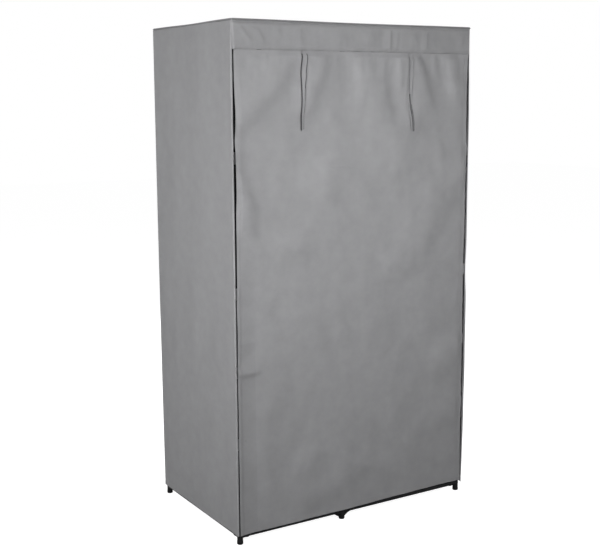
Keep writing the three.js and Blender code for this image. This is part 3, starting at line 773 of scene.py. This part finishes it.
def make_side(side, name, seed, start):
    corners = [(side * (SIDE_X - FRONT_TURN), FRONT_Y), (side * SIDE_X, FRONT_Y), (side * SIDE_X, BACK_Y),
               (side * (SIDE_X - BACK_TURN), BACK_Y)]
    path = rounded_path(corners if side < 0 else corners[::-1], 1.9 * MM, 5 * MM)
    width = path[2][-1]

    def painted_shade(s, z):
        from_front = s if side < 0 else width - s
        front = table(z / MM, FLARE_HEIGHTS, FLARE[name]) * bell(from_front / 0.028)
        back = 1.6 * bell((width - from_front) / 0.04) * np.sin(math.pi * np.clip(z / PANEL_TOP, 0, 1))
        return MM * (front * mix(0.4, 1.0, smooth(from_front / 4e-3)) + back)

    piece, threads = hang_panel((f"side_cloth_{name}", f"side_stitches_{name}"), path, seed, start, painted_shade, 1.9,
                                seed + 20, [width if side < 0 else 0.0])
    tabs, pads = zip(*(tab_and_pad(side, f"{name}_{k}", z) for k, z in enumerate(PAD_Z, 1)))
    set_on(FIXED, "cover_cloth", piece, threads, *tabs, *pads, replaces=f"cover_side_{name}")


TAB_INNER = PAD_X - 13 * MM
TAB_HALF = 18 * MM


def tab_and_pad(side, name, z):
    """The tab on a side's hem behind the flap's edge, and the loop pad on it."""
    ends = side * (SIDE_X - FRONT_TURN + 0.8 * MM), side * TAB_INNER
    x, height = np.meshgrid(np.linspace(min(ends), max(ends), 14), np.linspace(-TAB_HALF, TAB_HALF, 16))
    height = z + height * mix(0.86, 1.0, smooth(np.abs(x - ends[1]) / 6e-3))
    face = np.stack([x, np.full_like(x, FRONT_Y + 0.5 * MM), height], -1)
    normal = np.broadcast_to([0.0, -1.0, 0.0], face.shape)
    tab = cloth_sheet("closure_tab_" + name, face, normal, face[..., [0, 2]], [COVER_CLOTH])
    return tab, pad_slab("loop_pad_" + name, side * PAD_X, FRONT_Y + 0.4 * MM, FRONT_Y - 1.0 * MM, z)


def pad_slab(name, x, back, front, z):
    """A sewn pad with rounded corners, its pile proud of its border."""
    half_x, half_z, corner = 7 * MM, 12 * MM, 2 * MM
    outline = []
    for cx, cz, start in ((1, 1, 0), (-1, 1, 90), (-1, -1, 180), (1, -1, 270)):
        for angle in np.radians(range(start, start + 91, 30)):
            outline.append((cx * (half_x - corner) + corner * math.cos(angle),
                            cz * (half_z - corner) + corner * math.sin(angle)))
    layers = ((0.0, 0.0), (0.0, 0.55), (0.06, 0.62), (0.10, 0.9), (0.16, 1.0), (0.6, 1.0))  # drawn in by, and how deep
    rings = [[(x + u * (1 - inset), mix(back, front, depth), z + v * (1 - inset * half_x / half_z)) for u, v in outline]
             for inset, depth in layers]
    return Shells().add(*rings_mesh(rings, closed=False)).finish(name, [PAD_FELT])


def make_back():
    end = SIDE_X - BACK_TURN
    points, normals, run = rounded_path([(end, BACK_Y), (-end, BACK_Y)], 0.0, 6 * MM)
    piece, threads = hang_panel(("back_cloth", "back_stitches"), (points, -normals, run), 61, 0.3,
                                lambda s, z: 0.0, 2.2, 77, [0.0, run[-1]])
    set_on(FIXED, "cover_cloth", piece, threads, replaces="cover_back")


VALANCE_FOLDS = [
    (5, 7, 2.4, "b", -436, 1588, -380, 1587, -300, 1584),
    (9, 8, 1.8, "ab", -428, 1590, -405, 1560, -378, 1528),
    (7, 7, 1.3, "ab", -412, 1592, -385, 1575, -352, 1560),
    (12, 8, 2.0, "ab", -372, 1582, -348, 1545, -334, 1520),
    (20, 12, 1.4, "ab", -300, 1590, -288, 1535),
    (16, 9, 1.6, "a", -222, 1588, -212, 1522),
    (24, 16, 1.3, "ab", -75, 1590, -62, 1525),
    (26, 16, 1.3, "ab", 30, 1590, 48, 1525),
    (14, 6, 1.9, "a", 118, 1592, 112, 1518),
    (9, 8, 1.0, "a", 146, 1590, 140, 1520),
    (22, 14, 1.3, "ab", 205, 1588, 220, 1522),
    (14, 6, 1.6, "a", 262, 1590, 258, 1520),
    (26, 16, 1.4, "ab", 340, 1590, 352, 1528),
    (18, 10, 1.4, "ab", 412, 1590, 404, 1528),
]


def make_valance():
    top, bottom = TOP_Z - 6.0 * MM, SEAM_Z + 0.2 * MM
    hem_top = bottom + 9 * MM
    u, t = np.meshgrid(edge_spread(round(2 * SIDE_X / (CLOTH_STEP * 0.9)), 0.02), np.linspace(0, 1, 34))
    gather = ripples(31, 16, 0.02, 0.07, spread=0.6)
    soft = ripples(33, 16, 0.06, 0.2)
    z = mix(bottom, top, t)
    half = SIDE_X - 1.0 * MM - np.where(u < 0, 2.0, 1.2) * MM * (1 - t) ** 1.5
    x = u * half
    fade = np.sin(math.pi * t) ** 0.6
    lift = mix(FRONT_Y - FLAP_Y, 5.2 * MM, smooth(t * 1.05)) + 1.3 * folds(x, z, VALANCE_FOLDS) * fade
    lift = lift + MM * (0.8 * soft(x, z) * fade + 0.4 * gather(x, z) * np.exp(-t / 0.35))
    # drawn in at the top's edge, doubled below the hem's stitching, and rolled under at the seam
    lift = lift + MM * (0.55 * smooth((hem_top - z) / 1.2e-3) - 0.45 * bell((z - hem_top) / 1.3e-3)
                        - 0.3 * bell((z - bottom) / 2.2e-3) - 3.2 * bell((z - bottom) / 7.5e-3)
                        - 4.0 * bell((z - top + 2 * MM) / 5.5e-3))
    turn = smooth((np.abs(x) - (half - 4 * MM)) / 4e-3)
    y = FRONT_Y - lift * (1 - 0.5 * turn) + (1.2 + 2.4 * (1 - t)) * MM * turn * turn
    face = np.stack([x, y, z], -1)
    normal = normals_towards(face, (0, -1, 0))
    piece = cloth_sheet("valance_cloth", face, normal, face[..., [0, 2]], [DARKER_CLOTH_AND_SHADE], 0.9 * MM)
    threads = stitched("valance_stitches", [seam_at(face, normal, hem_top - 1.2 * MM)])
    set_on(FIXED, "cover_cloth", piece, threads, replaces="valance")


def droop(at, start, end):
    """1 midway between two posts, and nothing over their connectors."""
    clear = 2 * SLEEVE_REACH * MM
    share = np.clip((at - start - clear) / (end - start - 2 * clear), 0, 1)
    return np.sin(math.pi * share) ** 2


def top_uv(points):
    return np.stack([points[..., 0], points[..., 1] + points[..., 2]], -1)


def make_top():
    """The top lies on the rails, sags between them, and its edge turns down to the seam."""
    outer_x = SIDE_X + 1.6 * MM
    front, back = FRONT_Y - 5.6 * MM, BACK_Y + 1.6 * MM
    half_y = (back - front) / 2
    corners = [(0, front), (-outer_x, front), (-outer_x, back), (outer_x, back), (outer_x, front), (0, front)]
    points, normals, _ = rounded_path(corners, 6 * MM, 6 * MM)
    spine = np.clip(points, [half_y - outer_x, front + half_y], [outer_x - half_y, front + half_y])
    # rings from the skirt's lower edge round to the spine: how far in, and how far up
    painted_shade, skirt = 3.4 * MM, 8.0 * MM
    inner = half_y - 0.25 * MM
    rings = [(3.0 * MM, -skirt), (2.2 * MM, -6.8 * MM)]
    rings += [(painted_shade * (1 - math.cos(a)), -painted_shade * (1 - math.sin(a))) for a in np.linspace(-1.1, math.pi / 2, 11)]
    rings += [(d, 0.0) for d in np.linspace(painted_shade, inner, round(inner / (CLOTH_STEP * 1.8)))[1:]]
    fine = ripples(91, 22, 0.07, 0.22)
    crease = ripples(92, 20, 0.05, 0.18)
    deep = POST_Y["front"], POST_Y["rear"]
    along_rail = (np.abs(normals[:, 1]) > 0.5, np.abs(normals[:, 0]) > 0.5)
    hang = 1.5 * MM * (droop(points[:, 0], -POST_X["right"], POST_X["right"]) * along_rail[0]
                       + droop(points[:, 1], *deep) * along_rail[1])
    loops = []
    for inset, rise in rings:
        x, y = mix(points, spine, inset / half_y).T
        bay = np.where(x < POST_X["middle"], droop(x, POST_X["left"], POST_X["middle"]),
                       droop(x, POST_X["middle"], POST_X["right"]))
        sag = 3.6 * MM * bay * droop(y, *deep) * smooth((inset - 0.008) / 0.05)
        rough = 0.8 * (0.5 * fine(x, y) + 0.3 * np.abs(crease(x, y))) - 0.5
        z = TOP_Z + rise - hang * (1 - smooth(inset / 0.06)) - sag + MM * rough * smooth((inset - painted_shade) / 0.03)
        loops.append(np.stack([x, y, z], 1))
    face = np.array(loops)
    normal = normals_towards(face, (0, 0, 1), (-3, 5))
    piece = cloth_sheet("top_cloth", face, normal, top_uv(face), [COVER_CLOTH, TOP_EDGE_SHADE])
    # painted shade: the faces round the top's edge take a darker cloth, for the shade along its edge and seam
    second_material(piece, lambda x, y, z: np.minimum(outer_x - np.abs(x), np.minimum(y - front, back - y)) < 1.6 * MM)
    lid = face[-1][:-1]
    layers, faces = rings_mesh([lid - [0, 0, CLOTH], lid], closed=False)
    middle = Shells().add(layers, faces).finish("top_cloth_middle", [COVER_CLOTH], uv=top_uv(layers))
    threads = stitched("top_stitches", [face[0] + normal[0] * 0.2 * MM])
    set_on(FIXED, "cover_cloth", piece, middle, threads, replaces="cover_top")


# Ties: tapes that hang flat on the flap and fold narrower towards their ends; dark lines along their edges are painted
# shade for the shadow gaps beside them
TIE_TOP = high("tie_outer_left", 2)
INNER_TIE_Y = low("tie_inner_left", 1) + 0.8 * MM
TIE_WIDTH = 15 * MM


def make_tie(name, outer, heights, lefts, rights, edges):
    """heights run down; lefts and rights place the tape's edges; edges are dark lines of painted shade
    along them, each a side, a height to start from, one to end at and the line's width. All in millimetres."""
    at = np.linspace(heights[0], heights[-1], 90)
    z = TIE_TOP - (heights[0] - at) * MM
    sides = {side: table(at, heights[::-1], xs[::-1]) * MM for side, xs in (("left", lefts), ("right", rights))}
    # what is wider than the place turns under at the right
    wide = (sides["right"] - sides["left"])[:, None]
    along = np.linspace(0, 1, 19) * np.maximum(wide, TIE_WIDTH)
    x = sides["left"][:, None] + np.minimum(along, wide) - np.maximum(along - wide, 0)
    grid_z = np.broadcast_to(z[:, None], x.shape)
    back = 1.3 * MM * smooth((along - wide + 0.6 * MM) / (1.2 * MM))
    back = back + 0.3 * MM * (2 * np.minimum(along / wide, 1) - 1) ** 2

    def tape_y(x, z, back):
        # room for the flap's folds: the outer tape's end stands off, the inner tape hangs back
        if outer:
            return FLAP_Y - flap_lift(x, z) - MM * (3.0 + 3.0 * smooth((TIE_TOP - 0.180 - z) / 0.025)) + back
        return INNER_TIE_Y + MM * (1.4 + 9.0 * smooth((TIE_TOP - z) / 0.050)) - back

    face = np.stack([x, tape_y(x, grid_z, back), grid_z], -1)
    normal = normals_towards(face, (0, -1 if outer else 1, 0), (len(at) // 2, 2))
    tape, node = "tie_tape_" + name, "tie_" + name
    piece = cloth_sheet(tape, face, normal, np.stack([along, grid_z], -1), [TIE_CLOTH], 0.6 * MM)
    extras = [stitched(tape + "_stitches", [seam_on(face[:, 2], normal[:, 2])])]
    # painted shade: dark thread lines along the tape's edges stand in for the shadow gaps beside it
    for k, (side, start, end, width) in enumerate(edges, 1):
        kept = (at <= start) & (at >= end)
        edge_x, edge_z = sides[side][kept], z[kept]
        line = np.stack([edge_x, tape_y(edge_x, edge_z, 0.5 * MM), edge_z], -1)
        extras.append(stitched(f"{tape}_edge_{k}", [line], 1.7, 2.6, width, TIE_EDGE_SHADE))
    set_on(node, "tie_cloth", piece, *extras, replaces=node)


def make_ties():
    make_tie("outer_left", True, [1510, 1485, 1441, 1403, 1352, 1275], [-215, -216, -216, -215.4, -214.7, -213.8],
             [-199, -198.2, -200.1, -204.2, -205.2, -206.4],
             [("left", 1504, 1276, 3.0), ("right", 1504, 1400, 2.6), ("right", 1400, 1278, 1.4)])
    make_tie("outer_right", True, [1510, 1475, 1412, 1381, 1350, 1318, 1286, 1264],
             [187, 187, 188.8, 191.7, 194.5, 200.0, 203.6, 205.0],
             [202, 201.8, 200.1, 199.6, 198.9, 203.8, 207.4, 208.8],
             [("left", 1500, 1375, 0.5), ("right", 1500, 1375, 0.6), ("left", 1385, 1265, 3.4),
              ("right", 1350, 1265, 2.2)])
    for name, x in (("inner_left", -202), ("inner_right", 202)):
        make_tie(name, False, [1510, 1440, 1360, 1274], [x - 7.5] * 4, [x + 7.5] * 4,
                 [("left", 1506, 1276, 1.2), ("right", 1506, 1276, 1.2)])


# Shelves: one cloth each, sewn round the front and the rear rail
def make_shelf(k, z):
    left, right = POST_X["left"] + 31 * MM, POST_X["middle"] - 31 * MM
    front, rear = POST_Y["front"], POST_Y["rear"]
    wrap, wrap_points, flat_points = 9.4 * MM, 15, 68
    arcs = [np.radians(np.linspace(*ends, wrap_points)) for ends in ((318, 90), (90, -138))]
    across = np.concatenate([front + wrap * np.cos(arcs[0]), mix(front, rear, np.linspace(0, 1, flat_points + 2)[1:-1]),
                             rear + wrap * np.cos(arcs[1])])
    run = np.cumsum([0.0] + [0.0016] * (wrap_points - 1) + [0.0075] * flat_points + [0.0016] * wrap_points)
    dimple = ripples(200 + k, 22, 0.06, 0.2)
    y, x = np.meshgrid(across, np.linspace(left, right, round((right - left) / (CLOTH_STEP * 1.6))))
    belly = np.sin(math.pi * np.clip((y - front) / (rear - front), 0, 1))
    edges = 1 - 0.12 * np.cos(math.pi * 2 * (x - left) / (right - left))
    level = z + wrap - 8 * MM * belly * edges + 0.5 * MM * dimple(x, y) * belly
    level[:, :wrap_points] = z + wrap * np.sin(arcs[0])
    level[:, -wrap_points:] = z + wrap * np.sin(arcs[1])
    face = np.stack([x, y, level], -1)
    normal = normals_towards(face, (0, 0, 1))
    uv = np.stack([x, np.broadcast_to(run, x.shape)], -1)
    piece = cloth_sheet(f"shelf_cloth_{k}", face, normal, uv, [COVER_CLOTH], 0.9 * MM)
    seams = [seam_on(face[:, c], normal[:, c]) for c in (wrap_points + 2, -wrap_points - 3)]
    threads = stitched(f"shelf_stitches_{k}", seams)
    set_on(FIXED, "cover_cloth", piece, threads, replaces=f"shelf_{k}")


# Frame: smooth tubes, and moulded connectors with lipped sleeves. Profiles and plates are in millimetres
TUBE, TUBE_BORE = 8, 7.4  # radii
LIP, SOCKET = 9.9, 8.4
SLEEVE_REACH = 28
SLEEVE = [(0, 0.1), (0, 9.3), (22.3, 9.3), (23, LIP), (27.2, LIP), (28, 9.1), (28, 8.7), (27.4, SOCKET),
          (12, SOCKET), (12, 0.1)]
BALL = [(-LIP * math.cos(a), LIP * math.sin(a)) for a in np.linspace(0.02, math.pi - 0.02, 13)]
RIB = [(0, 0), (19, 8.6), (19, 9.1), (9.1, 19), (8.6, 19)]
SHELF_EYE = [(0, SOCKET), (0, 9.2), (0.7, LIP), (4.5, LIP), (5.1, 9.4), (24.9, 9.4), (25.5, LIP), (29.3, LIP),
             (30, 9.2), (30, SOCKET)]
SHELF_STUB = [(8.6, 8.1), (8.6, 9.2), (22, 9.2), (22.6, LIP), (27.3, LIP), (28, 9.2), (28, 8.1)]
HOLDER_RING = [(0, SOCKET), (0, 9.2), (0.7, LIP), (23.3, LIP), (24, 9.2), (24, SOCKET)]
HOLDER_CUP = [(0, 0.1), (0.4, 8.4), (1.4, LIP), (37.1, LIP), (37.9, 9.1), (37.9, SOCKET), (21.9, SOCKET), (21.9, 0.1)]
WAYS = {"up": (0, 0, 1), "down": (0, 0, -1), "left": (-1, 0, 0), "right": (1, 0, 0), "back": (0, 1, 0),
        "front": (0, -1, 0)}


def tube_profile(length, joints=()):
    """A tube with rounded ends, and a fine groove at each joint between two lengths of it."""
    profile = [(0, TUBE_BORE), (0, TUBE - 0.3), (0.3, TUBE)]
    for joint in joints:
        profile += [(joint - 0.6, TUBE), (joint - 0.3, TUBE - 0.35), (joint + 0.3, TUBE - 0.35), (joint + 0.6, TUBE)]
    return profile + [(length - 0.3, TUBE), (length, TUBE - 0.3), (length, TUBE_BORE)]


def make_tube(node, axis, joints=()):
    """A tube along an axis (0 x, 1 y, 2 z), as long as its node."""
    start = [low(node, k) if k == axis else centre(node, k) for k in range(3)]
    way = [float(k == axis) for k in range(3)]
    profile = tube_profile((high(node, axis) - low(node, axis)) / MM, joints)
    tube = Shells().turned(start, way, profile, sides=32).finish("tube_" + node, [POWDER_COAT])
    set_on(FIXED, "black_tube", tube, replaces=node)


def make_connector(node, at, vertical, flats, foot=False, web=False):
    """Sleeves with a rib in each corner between an upright and a level one."""
    shells = Shells()
    for way in (vertical, *flats):
        shells.turned(at, WAYS[way], SLEEVE)
    shells.turned(at, WAYS["up"], BALL, closed=False)
    for flat in flats:
        out, up = Vector(WAYS[flat]), Vector(WAYS[vertical])
        through = out.cross(up)
        shells.plate(RIB, 2.2, lambda u, v, t: tuple(Vector(at) + out * u + up * v + through * t))
    x, y, height = at[0], at[1], at[2] / MM
    if foot:
        shells.turned(at, WAYS["down"], [
            (0, 0.1), (0, 9.3), (height - 11, 9.3), (height - 10.4, LIP), (height - 2.4, LIP), (height - 0.9, 9.4),
            (height - 0.15, 8.2), (height, 7.2), (height, 0.1)])
    if web:
        shells.plate([(-27, height - 5), (-27, height - LIP), (-5, 4), (5, 4), (27, height - LIP), (27, height - 5)], 3,
                     lambda u, v, t: (x + u, y + t, v))
    set_on(FIXED, "black_plastic", shells.finish("connector_" + node, [PLASTIC], bevel=0.25 * MM), replaces=node)


def make_shelf_rail(row, k):
    """A rail with an eye at each end that a post passes through."""
    y, z = POST_Y[row], SHELF_Z[k]
    left, right = POST_X["left"], POST_X["middle"]
    shells = Shells().turned((left + 12 * MM, y, z), WAYS["right"], tube_profile((right - left) / MM - 24), sides=32)
    for x, way in ((left, "right"), (right, "left")):
        shells.turned((x, y, z - 15 * MM), WAYS["up"], SHELF_EYE, slot=1)
        shells.turned((x, y, z), WAYS[way], SHELF_STUB, slot=1)
    piece = shells.finish(f"shelf_rail_{row}_tube_{k}", [POWDER_COAT, PLASTIC])
    set_on(FIXED, "black_tube", piece, replaces=f"shelf_rail_{row}_{k}")


def make_holder(place, way):
    """A ring on the top rail, a cup for the hanging rail, and crossed plates between them."""
    x, y = POST_X[place], centre("hanging_rail", 1)
    cup = Vector((x, y, HANGING_Z)) - Vector(WAYS[way]) * LIP * MM
    shells = Shells().turned((x, y - 12 * MM, TOP_RAIL_Z), WAYS["back"], HOLDER_RING).turned(cup, WAYS[way], HOLDER_CUP)
    gap = (TOP_RAIL_Z - HANGING_Z) / MM
    waisted = [(-8, 3), (8, 3), (7, gap / 2), (8, gap - 8.5), (-8, gap - 8.5), (-7, gap / 2)]
    for aside in (-4.2 * MM, 4.2 * MM):
        shells.plate(waisted, 2.6, lambda u, v, t: (x + u, y + aside + t, HANGING_Z + v))
    shells.plate([(-5, 3), (5, 3), (5, gap - 8.5), (-5, gap - 8.5)], 2.4, lambda u, v, t: (x + t, y + u, HANGING_Z + v))
    piece = shells.finish(f"holder_{place}", [PLASTIC], bevel=0.25 * MM)
    set_on(FIXED, "black_plastic", piece, replaces=f"hanging_rail_holder_{place}")


def make_frame():
    for row, deep in zip(ROWS, ("back", "front")):
        for place, wide in (("left", ["right"]), ("middle", ["left", "right"]), ("right", ["left"])):
            at, flats = (POST_X[place], POST_Y[row]), [*wide, deep]
            make_connector(f"foot_connector_{row}_{place}", (*at, BOTTOM_RAIL_Z), "up", flats, foot=True,
                           web=place == "middle")
            make_connector(f"top_connector_{row}_{place}", (*at, TOP_RAIL_Z), "down", flats)
            make_tube(f"post_{row}_{place}", 2, joints=[352, 742, 1132])
        for level in ("bottom", "top"):
            for side in ("left", "right"):
                make_tube(f"{level}_rail_{row}_{side}", 0)
        for k in SHELF_Z:
            make_shelf_rail(row, k)
    for level in ("bottom", "top"):
        for place in PLACES:
            make_tube(f"{level}_rail_side_{place}", 1)
    make_tube("hanging_rail", 0)
    make_holder("middle", "right")
    make_holder("right", "left")


def make_hook_pads():
    back = FLAP_Y + FLAP_REAR + 0.4 * MM
    for side, name in ((-1, "left"), (1, "right")):
        for k, z in enumerate(PAD_Z, 1):
            band = int((FLAP_TOP - z) // BAND) + 1
            pad = pad_slab(f"hook_pad_{name}_{k}", side * PAD_X, back, back + 1.5 * MM, z)
            set_on(f"flap_{band}", "cover_cloth", pad)


# Floor, light and camera
def cleared(owner):
    owner.use_nodes = True
    owner.node_tree.nodes.clear()
    return Wires(owner.node_tree)


def make_floor():
    """A floor that is lit like a floor, and seen as white."""
    material = bpy.data.materials.new("pale_floor")
    w = cleared(material)
    paint = w.node("ShaderNodeBsdfDiffuse", {"Color": (0.32, 0.32, 0.32, 1)})
    seen = w.node("ShaderNodeLightPath").outputs["Is Camera Ray"]
    glow = w.node("ShaderNodeEmission", {"Color": (1, 1, 1, 1), "Strength": w.times(seen, 0.97)})
    both = w.node("ShaderNodeAddShader", {0: paint.outputs[0], 1: glow.outputs[0]})
    w.node("ShaderNodeOutputMaterial", {"Surface": both.outputs[0]})
    half = 14.0
    corners = [(-half, -half, 0), (half, -half, 0), (half, half, 0), (-half, half, 0)]
    add_object("floor", corners, [(0, 1, 2, 3)], [material])


def make_world():
    world = bpy.data.worlds.new("studio")
    bpy.context.scene.world = world
    w = cleared(world)
    soft, white = (w.node("ShaderNodeBackground", {"Color": (1, 1, 1, 1), "Strength": power}) for power in (0.07, 1.0))
    rays = w.node("ShaderNodeLightPath").outputs
    seen = w.math("MAXIMUM", rays["Is Glossy Ray"], rays["Is Transmission Ray"])
    seen = w.math("MAXIMUM", rays["Is Camera Ray"], seen)
    both = w.node("ShaderNodeMixShader", {0: seen, 1: soft.outputs[0], 2: white.outputs[0]})
    w.node("ShaderNodeOutputWorld", {"Surface": both.outputs[0]})


LAMPS = [  # name, place, what it points at, width and power
    ("key_lamp", (-4.03, -1.07, 3.4), (-0.1, 0.0, 1.0), 0.9, 88),
    ("high_front_lamp", (-1.19, -3.96, 3.4), (-0.1, 0.0, 1.0), 0.9, 10),
    ("front_lamp", (-0.15, -1.60, 1.3), (-0.1, 0.0, 1.0), 0.8, 15.4),
    ("left_lamp", (-1.60, -0.48, 1.05), (-0.2, 0.0, 1.0), 0.7, 7.4),
    ("right_lamp", (2.7, 0.25, 1.4), (0.4, 0.1, 1.0), 1.2, 42),
    ("top_lamp", (0.0, 0.7, 3.6), (0.0, 0.2, 1.6), 1.2, 26),
    ("back_lamp", (0.6, 3.2, 1.6), (0.0, 0.3, 1.0), 1.4, 76),
]


def make_lamp(name, at, towards, size, power):
    lamp = bpy.data.lights.new(name, "AREA")
    lamp.shape = "SQUARE"
    lamp.size = size
    lamp.energy = power
    holder = in_scene(name, lamp)
    way = Vector(towards) - Vector(at)
    holder.matrix_world = Matrix.Translation(at) @ way.to_track_quat("-Z", "Y").to_matrix().to_4x4()
    holder.visible_camera = False


def make_camera():
    """The camera that the photo's corners and feet were fitted with."""
    picture_width, focal = 600, 1054.5  # pixels
    at = (-1.9066, -2.9971, 1.3733)
    yaw, pitch, roll = (math.radians(angle) for angle in (31.7237, 9.7668, -0.2795))
    level, above = Vector((math.sin(yaw), math.cos(yaw), 0)), Vector((0, 0, 1))
    forward = level * math.cos(pitch) - above * math.sin(pitch)
    upward = above * math.cos(pitch) + level * math.sin(pitch)
    right = Vector((math.cos(yaw), -math.sin(yaw), 0))
    right, upward = right * math.cos(roll) + upward * math.sin(roll), upward * math.cos(roll) - right * math.sin(roll)
    data = bpy.data.cameras.new("camera")
    data.sensor_fit = "HORIZONTAL"
    data.sensor_width = 36
    data.lens = focal / picture_width * data.sensor_width
    camera = in_scene("camera", data)
    camera.matrix_world = Matrix.Translation(at) @ Matrix((right, upward, -forward)).transposed().to_4x4()
    bpy.context.scene.camera = camera


def main():
    make_camera()
    make_frame()
    for k, z in SHELF_Z.items():
        make_shelf(k, z)
    make_top()
    make_side(-1, "left", seed=41, start=0.1)
    make_side(1, "right", seed=51, start=0.6)
    make_back()
    make_valance()
    make_flap()
    make_hook_pads()
    make_ties()
    make_floor()
    make_world()
    for lamp in LAMPS:
        make_lamp(*lamp)
    bpy.context.scene.view_settings.view_transform = "Standard"


main()
